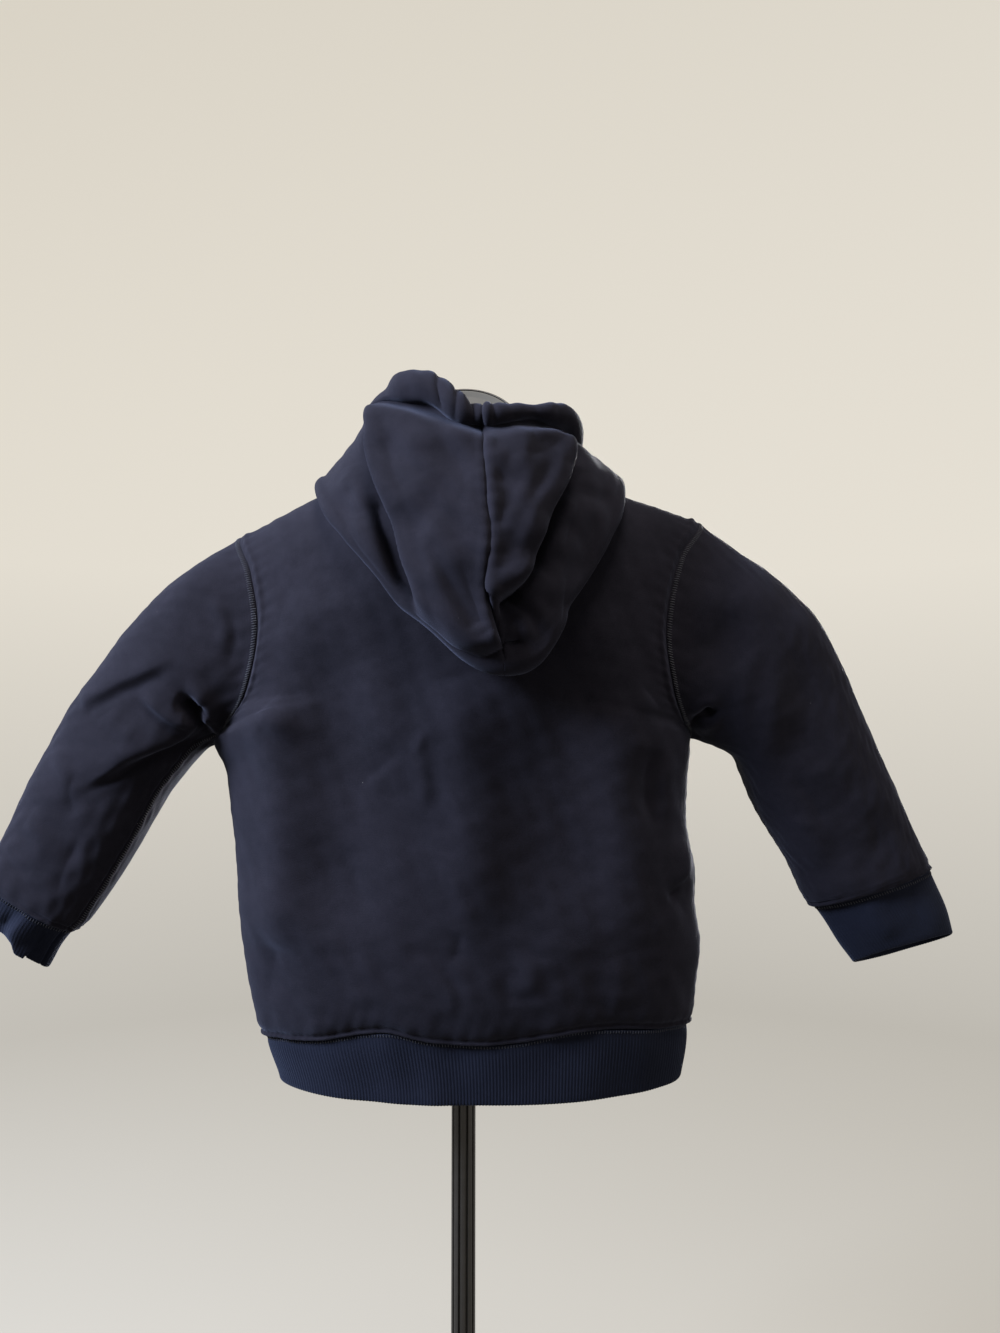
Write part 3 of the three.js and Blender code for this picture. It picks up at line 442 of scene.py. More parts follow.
def clothMaterial(name, look):
    material, tree, shader = newMaterial(
        name, 0.92, Sheen_Weight=look["sheen"], Sheen_Roughness=0.45, Sheen_Tint=look["sheenTint"],
        Specular_IOR_Level=0.10)
    uv = addNode(tree, "ShaderNodeUVMap", uv_map="cloth").outputs["UV"]
    place = ownPlace(tree)
    cotton = useGroup(tree, cottonSurface, {"Place": place})
    knit = useGroup(tree, knitFace, {"Cloth": uv, "Wales": look["wales"], "Courses": look["courses"]})
    worn = useGroup(tree, cottonSurface, {"Place": place, "Patch Scale": 190.0, "Fuzz Scale": 4200.0})
    shade = sums(tree, "MULTIPLY", cotton.outputs["Patches"], 0.6)
    shade = sums(tree, "MULTIPLY_ADD", worn.outputs["Patches"], 0.45, shade)
    shade = sums(tree, "MULTIPLY_ADD", cotton.outputs["Fuzz"], 0.55, shade)
    # The knit's gaps darken the colour: painted shade in the hollows between the loops.
    shade = sums(tree, "SUBTRACT", shade, sums(tree, "MULTIPLY", knit.outputs["Gaps"], 0.16))
    colour = colourBetween(tree, look["dark"], look["light"], scaled(tree, shade, 0.45, 1.0))
    specked = colourBetween(tree, colour, look["lint"], cotton.outputs["Lint"])
    tree.links.new(specked, shader.inputs["Base Color"])
    rough = bumpOn(tree, cotton.outputs["Fuzz"], 0.45, 0.0004)
    fine = bumpOn(tree, knit.outputs["Height"], 0.2, 0.0002, rough)
    tree.links.new(fine, shader.inputs["Normal"])
    return material


ribLook = {
    "dark": (0.0046, 0.0056, 0.0118), "light": (0.0092, 0.0110, 0.0205), "lint": (0.14, 0.14, 0.14),
    "wales": 1000.0, "courses": 700.0, "sheen": 0.12, "sheenTint": (0.5, 0.62, 0.95, 1.0),
}
threadLook = {"dark": (0.013, 0.0135, 0.022), "light": (0.024, 0.026, 0.038), "sheen": 0.2}


def threadMaterial():
    material, tree, shader = newMaterial(
        "sewingThread", 0.62, Sheen_Weight=threadLook["sheen"], Specular_IOR_Level=0.4)
    place = ownPlace(tree)
    cotton = useGroup(tree, cottonSurface, {"Place": place, "Patch Scale": 260.0, "Lint Amount": 0.0})
    colour = colourBetween(tree, threadLook["dark"], threadLook["light"], cotton.outputs["Patches"])
    tree.links.new(colour, shader.inputs["Base Color"])
    tree.links.new(bumpOn(tree, cotton.outputs["Fuzz"], 0.4, 0.0002), shader.inputs["Normal"])
    return material


def hardMaterial(name, dark, light, roughness, metallic, scale, bump, spreadOfShine=0.12):
    material, tree, shader = newMaterial(name, roughness, metallic)
    marks = useGroup(tree, scuffs, {"Place": ownPlace(tree), "Scale": scale})
    colour = colourBetween(tree, dark, light, marks.outputs["Clouds"])
    tree.links.new(colour, shader.inputs["Base Color"])
    shine = sums(tree, "MULTIPLY_ADD", marks.outputs["Clouds"], spreadOfShine, roughness - spreadOfShine / 2)
    tree.links.new(shine, shader.inputs["Roughness"])
    tree.links.new(bumpOn(tree, marks.outputs["Scratches"], bump, 0.0002), shader.inputs["Normal"])
    return material


fleece = clothMaterial("navyFleece", fleeceLook)
rib = clothMaterial("navyRib", ribLook)
thread = threadMaterial()
zipTapeCloth = hardMaterial("zipTape", (0.010, 0.012, 0.022), (0.018, 0.021, 0.036), 0.85, 0.0, 900.0, 0.6)
zipTeethPlastic = hardMaterial("zipTeeth", (0.014, 0.017, 0.03), (0.02, 0.024, 0.042), 0.42, 0.0, 300.0, 0.2)
zipMetal = hardMaterial("zipMetal", (0.36, 0.37, 0.38), (0.5, 0.5, 0.51), 0.32, 1.0, 500.0, 0.25)
formSkin = hardMaterial("formSkin", (0.42, 0.395, 0.35), (0.52, 0.49, 0.44), 0.75, 0.0, 40.0, 0.2)
capPlastic = hardMaterial("capPlastic", (0.038, 0.035, 0.027), (0.048, 0.044, 0.034), 0.62, 0.0, 70.0, 0.1)
standMetal = hardMaterial("standMetal", (0.018, 0.016, 0.014), (0.034, 0.031, 0.027), 0.42, 0.55, 120.0, 0.35)
print("materials made")


# The body's outer surface: rounded sections, with a back and a front that meet at the side seams, the
# armholes and the shoulders. It takes places across, from -1 to 1 between the seams, and rows from 0 to 1.
ribSeam = 37
underarm = 220
neckReach, neckHeight = 62, 395
neckEdge = {"back": (50, 8, 2), "front": (54, 47, 1.6)}  # depth, drop and power of the neckline
roundness = 2.3
shoulderStart, shoulderPower = 0.7, 2.2
zipHalf = 7
seamGap = 0.3
fleeceThick, ribThick, hoodThick = 2.4, 2.8, 3.2
shoulderAt = {"left": (147, 353), "right": (154, 363)}
sideLine = {
    "left": table("height reach", (0, 130), (37, 139), (82, 145), (133, 147), (172, 149),
                  (202, 155), (220, 163)),
    "right": table("height reach", (0, 132), (37, 138), (82, 148), (110, 148), (135, 150), (160, 144),
                   (186, 145), (220, 147)),
}
armhole = {
    "left": table("height reach depth", (220, 163, 0), (232, 150, 22), (250, 137, 32), (290, 129, 36),
                  (327, 136, 36), (353, 147, 34)),
    "right": table("height reach depth", (220, 147, 0), (232, 140, 22), (250, 133, 32), (290, 128, 36),
                   (335, 138, 36), (363, 154, 34)),
}
ribLine = {
    "back": table("round lift", (-90, 2), (-60, 4), (-30, 7), (-12, 1), (0, -0.5), (12, 1.5), (22, 6.5),
                  (45, -1), (68, -4), (90, -6)),
    "front": table("round lift", (-90, 2), (-45, 1), (-20, -2), (0, -1), (25, -3), (55, -1), (90, -6)),
}
bodyDepth = table("height back front", (0, 45, 46), (37, 49, 50), (60, 56, 57), (110, 58, 61), (180, 57, 60),
                  (240, 59, 58), (300, 61, 55), (350, 60, 54), (400, 58, 54))


def centreLine(height):
    return -10 * (1 - ease(height / 150))


def ribTop(face, across):
    return ribSeam + column(ribLine[face], "round", "lift", np.degrees(np.arcsin(np.clip(across, -1, 1))))


def bodyPoint(side, face, across, rise):
    reach, top = shoulderAt[side]
    height = mix(ribSeam, top, rise)
    onArm = height > underarm
    edge = np.where(onArm, column(armhole[side], "height", "reach", height),
                    column(sideLine[side], "height", "reach", height))
    edgeDepth = np.where(onArm, column(armhole[side], "height", "depth", height), 0)
    full = column(bodyDepth, "height", face, height)
    flank = (1 - np.minimum(1, edgeDepth / full) ** roundness) ** (1 / roundness)
    body = full * np.clip(1 - (flank * np.abs(across)) ** roundness, 0, None) ** (1 / roundness)
    depth, drop, power = neckEdge[face]
    out = np.abs(across) * reach
    inward = np.sqrt(np.clip(1 - (out / neckReach) ** 2, 0, 1))
    toShoulder = np.clip((out - neckReach) / (reach - neckReach), 0, 1)
    topHeight = neckHeight - drop * inward**power + (top - neckHeight) * toShoulder
    turning = np.clip((rise - shoulderStart) / (1 - shoulderStart), 0, 1)
    over = (1 - turning**shoulderPower) ** (1 / shoulderPower)
    z = mix(ribTop(face, across), topHeight, rise)
    y = faceSign[face] * (mix(depth * inward, body, over) + seamGap / 2)
    return np.stack([centreLine(z) + edge * across, y, z], -1)


underarmRow = 0.54


def riseAt(side, row):
    top = shoulderAt[side][1]
    low = mix(ribSeam, underarm, np.clip(row / underarmRow, 0, 1))
    share = np.clip((row - underarmRow) / (1 - underarmRow), 0, 1)
    high = mix(underarm, top, mix(share, (1 - np.cos(share * math.pi)) / 2, 0.5))
    return (np.where(row < underarmRow, low, high) - ribSeam) / (top - ribSeam)


def bodySurface(face, across, row):
    across, row = np.broadcast_arrays(across, row)
    leftShare = ease(0.5 + np.arcsin(np.clip(across, -1, 1)) / 0.7)[..., None]
    return mix(*(bodyPoint(side, face, across, riseAt(side, row)) for side in ("right", "left")), leftShare)


# Cloth along a seam: drawn in at the stitches, with a soft welt where the seam allowances lie beneath.
def seamShape(off, welt=0.7, at=3.2, wide=2.4, sink=0.35):
    return welt * bell(off - at, wide) - sink * bell(off, 1.3)


# How far each point of a grid is from one edge of it, along rows or columns.
def fromEdge(grid, side):
    if side in ("first", "last"):
        return fromEdge(np.moveaxis(grid, 1, 0), {"first": "low", "last": "high"}[side]).T
    return runLength(grid) if side == "low" else runLength(grid[::-1])[::-1]


backFolds = [
    ("ridge", [(6, 258), (0, 226), (-6, 184), (-6, 140), (-2, 92)], 6.4, 24, (0.2, 0.3)),
    ("ridge", [(78, 300), (72, 236), (66, 176), (68, 100)], -5.5, 25, (0.25, 0.3)),
    ("ridge", [(118, 246), (114, 200), (110, 150), (114, 90)], 6.8, 17, (0.15, 0.25)),
    ("ridge", [(-58, 262), (-56, 206), (-58, 150), (-54, 96)], -4.4, 25, (0.3, 0.35)),
    ("ridge", [(-106, 232), (-102, 190), (-102, 140), (-106, 92)], 2.6, 20, (0.2, 0.3)),
    ("fold", [(24, 226), (24, 206), (22, 190), (27, 172)], 1.8, 8, usualFade, 0.6),
    ("ridge", [(22, 226), (28, 209)], 1.3, 3.0),
    ("crease", [(36, 213), (50, 202), (63, 193)], 1.3, 4.5),
    ("ridge", [(34, 208), (49, 197), (60, 188)], 0.9, 5),
    ("crease", [(0, 106), (2, 94), (5, 86)], 1.2, 3.4),
    ("fold", [(28, 94), (21.5, 86), (11.5, 75), (6, 66), (8, 54)], 1.1, 7,
     (0.3, 0.35), 0.5),
    ("crease", [(22, 87), (13, 77), (10, 70), (7, 65)], 0.5, 1.6, (0.2, 0.3)),
    ("ridge", [(-46, 90), (-44, 78), (-40, 68)], 0.7, 7),
    ("ridge", [(-44, 92), (-41, 82), (-38, 66)], 1.2, 8),
    ("crease", [(-29, 84), (-27, 72), (-29, 60)], 0.8, 6),
    ("ridge", [(127, 302), (127, 280), (129, 256)], 1.9, 8, (0.4, 0.4)),
    ("crease", [(-118, 214), (-114, 196), (-115, 179), (-121, 165)], 3.4, 8, (0.3, 0.35)),
    ("ridge", [(-130, 212), (-127, 194), (-129, 176), (-134, 160)], 2.8, 7),
    ("fold", [(-139, 158), (-141, 142), (-138, 130), (-130, 120)], 2.4, 7, usualFade, 0.6),
    ("crease", [(-144, 132), (-136, 127), (-127, 121)], 2.6, 4),
    ("ridge", [(-138, 114), (-128, 108), (-116, 104)], 1.2, 7),
    ("ridge", [(58, 268), (49, 240), (42, 214)], 1.6, 12),
    ("ridge", [(120, 240), (104, 228), (84, 222)], 1.5, 8, (0.2, 0.6)),
    ("crease", [(122, 228), (108, 218), (92, 213)], 1.1, 6, (0.2, 0.6)),
    ("ridge", [(-118, 246), (-100, 232), (-80, 226)], 1.5, 9, (0.2, 0.6)),
    ("crease", [(-108, 262), (-96, 290), (-88, 320)], 1.4, 9),
    ("crease", [(104, 322), (112, 300), (116, 282)], 1.1, 8),
    ("crease", [(112, 96), (118, 78), (120, 58)], 1.4, 8),
    ("ridge", [(64, 92), (60, 76), (62, 58)], 1.3, 9),
    ("ridge", [(-92, 88), (-96, 72), (-94, 56)], 1.3, 8),
]
frontFolds = {
    "left": [
        ("fold", [(112, 236), (92, 206), (84, 168), (88, 122), (98, 84)], 3.4, 20, usualFade, 0.7),
        ("ridge", [(60, 262), (52, 222), (48, 176), (52, 132)], 2.4, 17),
        ("crease", [(118, 226), (100, 214), (84, 210)], 1.8, 6, (0.2, 0.6)),
        ("ridge", [(24, 150), (30, 118), (28, 84), (32, 56)], 1.8, 11),
        ("crease", [(40, 104), (46, 86), (44, 66)], 1.4, 5),
        ("crease", [(104, 300), (88, 272), (82, 248)], 1.7, 9),
        ("ridge", [(70, 84), (76, 66), (74, 52)], 1.2, 7),
        ("crease", [(14, 252), (22, 226), (20, 200)], 1.1, 7),
    ],
    "right": [
        ("fold", [(-100, 240), (-86, 200), (-82, 158), (-90, 112), (-100, 80)], 3.2, 22, usualFade, 0.7),
        ("ridge", [(-54, 276), (-46, 232), (-50, 186), (-58, 140)], 2.3, 16),
        ("crease", [(-120, 214), (-106, 202), (-92, 200)], 2.0, 6, (0.2, 0.6)),
        ("ridge", [(-30, 164), (-26, 126), (-32, 92), (-28, 58)], 1.9, 12),
        ("crease", [(-54, 98), (-60, 82), (-56, 62)], 1.3, 5),
        ("crease", [(-100, 306), (-84, 280), (-80, 256)], 1.6, 9),
        ("ridge", [(-82, 80), (-86, 66), (-82, 54)], 1.2, 7),
    ],
}
hemGathers = 11  # typical distance between the soft gathers above the rib
seamFade = 9  # folds and unevenness die away this close to a seam
neckSide = 58  # the shoulder seams begin this far from the middle


# Raises a body panel's folds, seams and gathers on its plain surface.
def shapedPanel(grid, folds, bound):
    x, h = grid[..., 0], grid[..., 2]
    added = foldsOn(x, h, folds) + unevenness(x, h, 0.9) + unevenness(x, h, 0.2, (11, 24))
    sewn = ("first", "last") if bound == "both" else (bound,)
    top = fromEdge(grid, "high")
    shoulderSide = ease((np.abs(x) - neckSide) / 10)
    for side in sewn:
        added *= ease(fromEdge(grid, side) / seamFade)
    added *= 1 - shoulderSide * (1 - ease(top / seamFade))
    above = fromEdge(grid, "low")
    run = fromEdge(grid, "first")
    gathers = np.sin(run * 2 * math.pi / hemGathers + 2.2 * np.sin(run / 31.0) + 1.1 * np.sin(run / 12.7))
    added += 0.22 * gathers * ease(above / 4) * np.exp(-above / 13) + 0.8 * bell(above - 9, 7)
    added += -1.1 * bell(above, 4.6) + 1.15 * bell(above - 0.7, 1.0) - 0.5 * bell(above - 3.0, 1.0)
    added += puckers(run, above, 0.14, 5, 4.6)
    for side in sewn:
        off = fromEdge(grid, side)
        nearArm = 0.4 + 0.6 * ease((h - underarm + 6) / 12)
        added += seamShape(off, 0.95, 4.4, 1.9) * nearArm
        added += puckers(above, off - 5, 0.3, 8, 8.5) * ease(off / 4) * nearArm
    shoulderPuckers = puckers(run, top - 4, 0.2, 6, 9) * shoulderSide * ease(top / 4)
    added += seamShape(top, 0.6) * shoulderSide + shoulderPuckers
    keep = ease(top / 3) * (1 - shoulderSide) + shoulderSide
    normals, flipped = normalsOf(grid)
    return grid + normals * (added * keep)[..., None], flipped


panels = {}
backGrid, frontGrid = (190, 221), (165, 101)  # rows and columns of points


# Rows up a body panel, closer together above the hem.
def rowPlaces(count):
    return (np.linspace(0, 1, count) ** 1.22)[:, None]


def makeBack():
    across = np.sin(np.linspace(-math.pi / 2, math.pi / 2, backGrid[1]))
    grid = bodySurface("back", across[None, :], rowPlaces(backGrid[0]))
    grid, flipped = shapedPanel(grid, backFolds, "both")
    panels["back"] = grid
    piece = clothObject("back_panel_cloth", grid, fleeceThick, flipped=flipped)
    finishPiece(piece, fleece)
    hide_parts("back_panel")
    return piece


def makeFront(side):
    sign = sideSign[side]
    reach = shoulderAt[side][0]
    turn = np.linspace(0, math.pi / 2, frontGrid[1]) * sign
    across = np.sin(turn) * (1 - zipHalf / reach) + sign * zipHalf / reach
    across = across[::-1] if side == "right" else across
    grid = bodySurface("front", across[None, :], rowPlaces(frontGrid[0]))
    grid, flipped = shapedPanel(grid, frontFolds[side], "last" if side == "left" else "first")
    panels["front_" + side] = grid
    piece = clothObject("front_panel_cloth_" + side, grid, fleeceThick, flipped=flipped)
    finishPiece(piece, fleece)
    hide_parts("front_" + side)
    return piece


backPanel = makeBack()
fronts = {side: makeFront(side) for side in ("left", "right")}
print("body panels made")


# Ribbing: a tube or band of doubled cloth, folded at its lower edge, with upright ribs all the way.
ribPitch = 2.0
ribPhase = np.array([-1.0, -0.1, 0.75, 0.75, -0.1])  # height of the cloth at five places across one rib


# Takes a band's plain outer surface, with rows up from its lower edge, down its face, round the fold and up
# inside, and raises the ribs on it.
def ribObject(name, outer, normals, thick, wrap, flipped, ribDeep=0.14):
    rows, cols = outer.shape[:2]
    inner = outer - normals * thick
    upInside = np.linspace(0, rows - 1, 9).astype(int)
    down = unit(outer[0] - outer[1])
    turns = np.linspace(0, math.pi, 7)[1:-1, None, None]
    bendOut = normals[0] * np.cos(turns) + down * np.sin(turns)
    bend = (outer[0] + inner[0]) / 2 + bendOut * thick / 2
    tube = np.concatenate([outer[::-1], bend, inner[upInside]])
    facing = np.concatenate([normals[::-1], bendOut, -normals[upInside]])
    deep = np.full(len(tube), ribDeep)
    deep[:2] *= 0.4
    phases = ribPhase[np.arange(cols) % len(ribPhase)]
    tube = tube + facing * (phases[None, :, None] * deep[:, None, None])
    ribs = np.arange(cols + wrap) / len(ribPhase) * ribPitch
    fall = runLength(tube).mean(1)
    uv = np.stack(np.broadcast_arrays(ribs[None, :], fall[:, None]), -1) * mm
    return finishPiece(gridObject(name, tube, uv, wrap, not flipped), rib)


hemRise = {"left": 3.5, "right": 5.5}
bandSink = 1.4  # the rib is drawn in under the fleece
hemRows, cuffGridRows, hemSteps = 13, 15, 1200


def bandPoint(side, turn, share):
    sine = np.sin(turn)
    onFront = turn < math.pi / 2
    top = np.where(onFront, ribTop("front", sideSign[side] * sine), ribTop("back", sideSign[side] * sine))
    z = mix(hemRise[side] * sine**2, top - 2 * seamGap, share)
    reach = column(sideLine[side], "height", "reach", z) - bandSink
    full = np.where(onFront, column(bodyDepth, "height", "front", z), column(bodyDepth, "height", "back", z))
    depth = (full - bandSink) * np.clip(1 - sine**roundness, 0, None) ** (1 / roundness)
    out = np.where(onFront, zipHalf + (reach - zipHalf) * sine, reach * sine)
    return np.stack([centreLine(z) + sideSign[side] * out, np.where(onFront, -depth, depth), z], -1)


def makeHem():
    turn = np.linspace(0, math.pi, hemSteps)
    share = np.linspace(0, 1, hemRows)[:, None]
    halves = [bandPoint(side, *np.broadcast_arrays(turn[None, :], share)) for side in ("right", "left")]
    whole = np.concatenate([halves[0], halves[1][:, -2::-1]], 1)
    run = fromEdge(whole[hemRows // 2:][:1], "first")[0]
    count = int(run[-1] / ribPitch) * len(ribPhase) + 1
    at = np.interp(np.linspace(0, run[-1], count), run, np.arange(whole.shape[1]))
    low = at.astype(int).clip(0, whole.shape[1] - 2)
    outer = mix(whole[:, low], whole[:, low + 1], (at - low)[None, :, None])
    x, h = outer[..., 0], outer[..., 2]
    places = np.linspace(0, run[-1], count)
    wave = np.sin(places / 13.5 + 1.4 * np.sin(places / 41))
    wave = wave + 0.6 * np.sin(places / 6.1 + 2 * np.sin(places / 27))
    added = 0.35 * wave[None, :] * np.ones_like(h) + unevenness(x, h, 0.5, (40, 90))
    upShare = share * np.ones_like(h)
    added += 0.9 * np.sin(upShare * math.pi) - 0.5 * ease((upShare - 0.8) / 0.2)
    normals, flipped = normalsOf(outer, middle=(0, 0, 0))
    outer = outer + normals * added[..., None]
    panels["hem"] = outer
    panels["hemNormals"] = normals
    piece = ribObject("hem_ribbing", outer, normals, ribThick, False, flipped)
    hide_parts("hem_rib")
    return piece


hemRib = makeHem()
print("hem rib made")


# Sleeves: flattened tubes from the armhole to the cuff. Round a tube, turn 0 is its upper edge and a
# quarter turn is its back. Each row has the upper and lower edge seen from behind, the half thickness and
# how far it has drifted back.
sleeveRows = {
    "left": [(173, 335, 174, 209, 37, 1), (197, 316, 184, 197, 36, 2), (217, 292, 194, 183, 33, 4),
             (237, 263, 203, 166, 30, 6), (257, 234, 214, 145, 28, 8), (276, 198, 227, 123, 25, 10),
             (293, 160, 240, 105, 22, 11), (305, 132, 248, 98, 19, 12)],
    "right": [(181, 342, 163, 215, 37, 0), (208, 323, 178, 207, 36, -1), (232, 298, 184, 194, 34, -2),
              (249, 266, 191, 176, 31, -3), (264, 231, 202, 157, 28, -4), (279, 197, 213, 139, 25, -5),
              (294, 163, 221, 122, 22, -6), (307, 135, 228, 110, 19, -7)],
}
sleeveSeamTurn = {"left": 0.86 * math.pi, "right": 1.07 * math.pi}


def tubeRing(side, row, turn, grow=0.0, tip=0.0, flatter=1.0):
    topX, topZ, lowX, lowZ, half, drift = row
    top = np.array([sideSign[side] * topX, drift, topZ])
    low = np.array([sideSign[side] * lowX, drift, lowZ])
    arm = (top - low) / 2
    arm = arm * (1 + grow / np.linalg.norm(arm))
    swell = np.array([0, half + grow, tip])
    across = np.sign(np.cos(turn)) * np.abs(np.cos(turn)) ** flatter
    out = np.sign(np.sin(turn)) * np.abs(np.sin(turn)) ** flatter
    return (top + low) / 2 + across[:, None] * arm + out[:, None] * swell


armholeTuck = 0.9  # the sleeve's end lies just under the body's edge


def armholeRing(side, turn):
    top = shoulderAt[side][1]
    rise = (mix(underarm, top, (1 + np.cos(turn)) / 2) - ribSeam) / (top - ribSeam)
    across = np.full_like(turn, sideSign[side])
    back, front = (bodyPoint(side, face, across, rise) for face in ("back", "front"))
    ring = np.where((turn <= math.pi)[:, None], back, front)
    return ring - np.array([sideSign[side] * armholeTuck, 0, 0])


sleeveFolds = {
    "left": [
        ("fold", [(178, 271), (193, 264), (205, 259), (215, 255), (226, 249), (240, 241)], 2.3, 9,
         (0.3, 0.12), 0.4),
        ("fold", [(172, 230), (180, 231), (187, 236), (195, 243), (203, 250)], 2.9, 12,
         (0.12, 0.5), 0.2),
        ("pit", [(168, 237), (172, 241)], 10.0, 4.6),
        ("crease", [(166, 240), (164, 234), (167, 228)], 4.0, 2.6, (0.1, 0.2)),
        ("fold", [(152, 219), (157, 224), (160, 230), (163, 238), (167, 245), (174, 248)], 4.0, 8,
         (0.12, 0.25), 0.28),
        ("fold", [(161, 235), (168, 227), (176, 221), (186, 216), (196, 212), (208, 207), (219, 200),
                  (232, 193), (244, 187)], 4.8, 14, (0.04, 0.45), 0.2),
        ("crease", [(163, 231), (171, 223), (180, 216), (192, 210), (206, 204), (219, 197)], 4.6, 2.6,
         (0.1, 0.5)),
        ("ridge", [(258, 218), (252, 207), (246, 195), (243, 181)], 1.7, 6),
        ("ridge", [(273, 169), (258, 158), (247, 155)], 1.2, 6),
        ("crease", [(240, 200), (244, 186), (240, 172)], 1.3, 5),
        ("ridge", [(196, 300), (216, 274), (238, 246), (258, 212)], 1.4, 20),
        ("ridge", [(157, 312), (153, 299), (149, 287), (149, 272)], 1.5, 5),
        ("crease", [(146, 304), (143, 284), (147, 262)], 0.9, 5),
        ("ridge", [(270, 176), (262, 156), (264, 138)], 1.6, 9),
        ("crease", [(236, 160), (246, 142), (252, 122)], 1.2, 6),
        ("ridge", [(222, 236), (214, 226), (204, 220)], 1.3, 6),
        ("crease", [(290, 152), (280, 140), (268, 134)], 1.1, 5),
    ],
    "right": [
        ("pit", [(-155, 237), (-157, 236)], 5.0, 3.2),
        ("crease", [(-143, 226), (-147, 231), (-151, 235), (-157, 236)], 4.0, 2.2, (0.1, 0.1)),
        ("ridge", [(-163, 243), (-157, 243), (-150, 240), (-145, 233)], 1.8, 4),
        ("ridge", [(-164, 232), (-157, 229), (-150, 224)], 1.6, 4),
        ("ridge", [(-190, 294), (-181, 268), (-175, 249), (-177, 228), (-184, 204)], 1.9, 6.5),
        ("fold", [(-197, 292), (-196, 263), (-192, 241), (-189, 213), (-184, 189)], 3.4, 15, usualFade, 0.7),
        ("ridge", [(-222, 262), (-226, 230), (-232, 200)], -2.2, 17),
        ("ridge", [(-222, 262), (-232, 226), (-244, 190), (-254, 160)], 1.8, 18),
        ("crease", [(-208, 196), (-222, 180), (-232, 162)], 1.6, 8),
        ("ridge", [(-212, 172), (-224, 154), (-230, 136)], 1.4, 8),
        ("crease", [(-262, 176), (-266, 158), (-262, 142)], 1.2, 7),
        ("ridge", [(-276, 160), (-282, 144), (-290, 138)], 1.0, 6),
        ("ridge", [(-160, 318), (-154, 298), (-152, 278)], 1.4, 9),
        ("crease", [(-168, 300), (-160, 276), (-158, 258)], 1.3, 7),
    ],
}
innerSleeveFolds = {
    "left": [
        ("crease", [(164, 232), (184, 224), (206, 218), (226, 208)], 3.6, 8, (0.1, 0.5)),
        ("fold", [(176, 262), (200, 252), (224, 240), (240, 224)], 3.6, 13, usualFade, 0.5),
        ("crease", [(216, 196), (232, 186), (246, 180)], 2.4, 6),
        ("ridge", [(196, 296), (214, 268), (230, 240)], 2.0, 14),
        ("crease", [(250, 168), (258, 150), (262, 134)], 1.5, 7),
    ],
    "right": [
        ("crease", [(-158, 230), (-178, 226), (-202, 220), (-224, 208)], 3.4, 8, (0.1, 0.5)),
        ("fold", [(-244, 220), (-222, 238), (-198, 250), (-176, 256)], 3.4, 14, usualFade, 0.5),
        ("crease", [(-214, 190), (-230, 180), (-244, 176)], 2.2, 6),
        ("ridge", [(-200, 290), (-220, 262), (-236, 232)], 2.0, 14),
        ("crease", [(-246, 160), (-258, 144), (-262, 130)], 1.5, 7),
    ],
}
sleeveGrid = {"left": (150, 200), "right": (124, 176)}  # points along and round
fineTurns = 721  # steps for measuring along a ring
sleeves, sleeveNormals = {}, {}


# Turns spaced so that the points of a ring are evenly spread round its edge.
def evenTurns(ringAt, count):
    fine = np.linspace(0, 2 * math.pi, fineTurns)
    run = runLength(ringAt(fine))
    return np.interp(np.arange(count) * run[-1] / count, run, fine)


def makeSleeve(side):
    rows, cols = sleeveGrid[side]
    turn = evenTurns(lambda at: tubeRing(side, sleeveRows[side][2], at), cols)
    rings = [tubeRing(side, row, turn, flatter=0.82) for row in sleeveRows[side]]
    rings = np.array([armholeRing(side, turn)] + rings)
    knots = runLength(rings).mean(1)
    share = np.linspace(0, 1, rows)
    grid = spline(knots, rings, knots[-1] * mix(share, share**1.25, 0.5), openEnds=True)
    x, h = grid[..., 0], grid[..., 2]
    behind = np.sin(turn)[None, :]
    added = foldsOn(x, h, sleeveFolds[side]) * ease((behind + 0.05) / 0.35)
    added += foldsOn(x, h, innerSleeveFolds[side]) * ease((0.05 - behind) / 0.35)
    added += unevenness(x, h + 300 * (behind < 0), 0.9, (38, 80)) * np.abs(behind)
    added += unevenness(x + 90 * behind, h, 0.2, (10, 22)) * (0.3 + 0.7 * ease((behind + 0.3) / 0.5))
    run = fromEdge(grid, "first")
    seam = fromEdge(grid, "low")
    added *= ease(seam / seamFade)
    seamPuckers = puckers(run, seam - 6, 0.2, 9, 11) * ease(seam / 5)
    added += 0.45 * bell(seam - 3.0, 2.6) - 0.6 * bell(seam, 1.1) + seamPuckers
    mouth = fromEdge(grid, "high")
    gathers = np.sin(run * 2 * math.pi / 12 + 2.0 * np.sin(run / 17.0))
    added += 0.6 * bell(mouth - 8, 7) + 0.28 * gathers * ease(mouth / 3) * np.exp(-mouth / 12)
    added += 0.8 * bell(mouth - 0.6, 1.2) - 0.8 * bell(mouth - 2.6, 0.9) + 0.5 * bell(mouth - 4.2, 1.0)
    fromSeam = run - np.array([np.interp(sleeveSeamTurn[side], turn, line) for line in run])[:, None]
    added += 0.75 * bell(fromSeam - 3, 2.4) - 0.9 * bell(fromSeam, 1.0) + puckers(seam, fromSeam, 0.2, 5, 9)
    normals, flipped = normalsOf(grid, wrap=True)
    grid = grid + normals * added[..., None]
    sleeves[side] = grid
    sleeveNormals[side] = normalsOf(grid, wrap=True)[0]
    piece = clothObject("sleeve_cloth_" + side, grid, fleeceThick, wrap=True, flipped=flipped)
    finishPiece(piece, fleece)
    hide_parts("sleeve_" + side)
    return piece, turn


sleevePieces, sleeveTurns = {}, {}
for side in ("left", "right"):
    sleevePieces[side], sleeveTurns[side] = makeSleeve(side)
print("sleeves made")

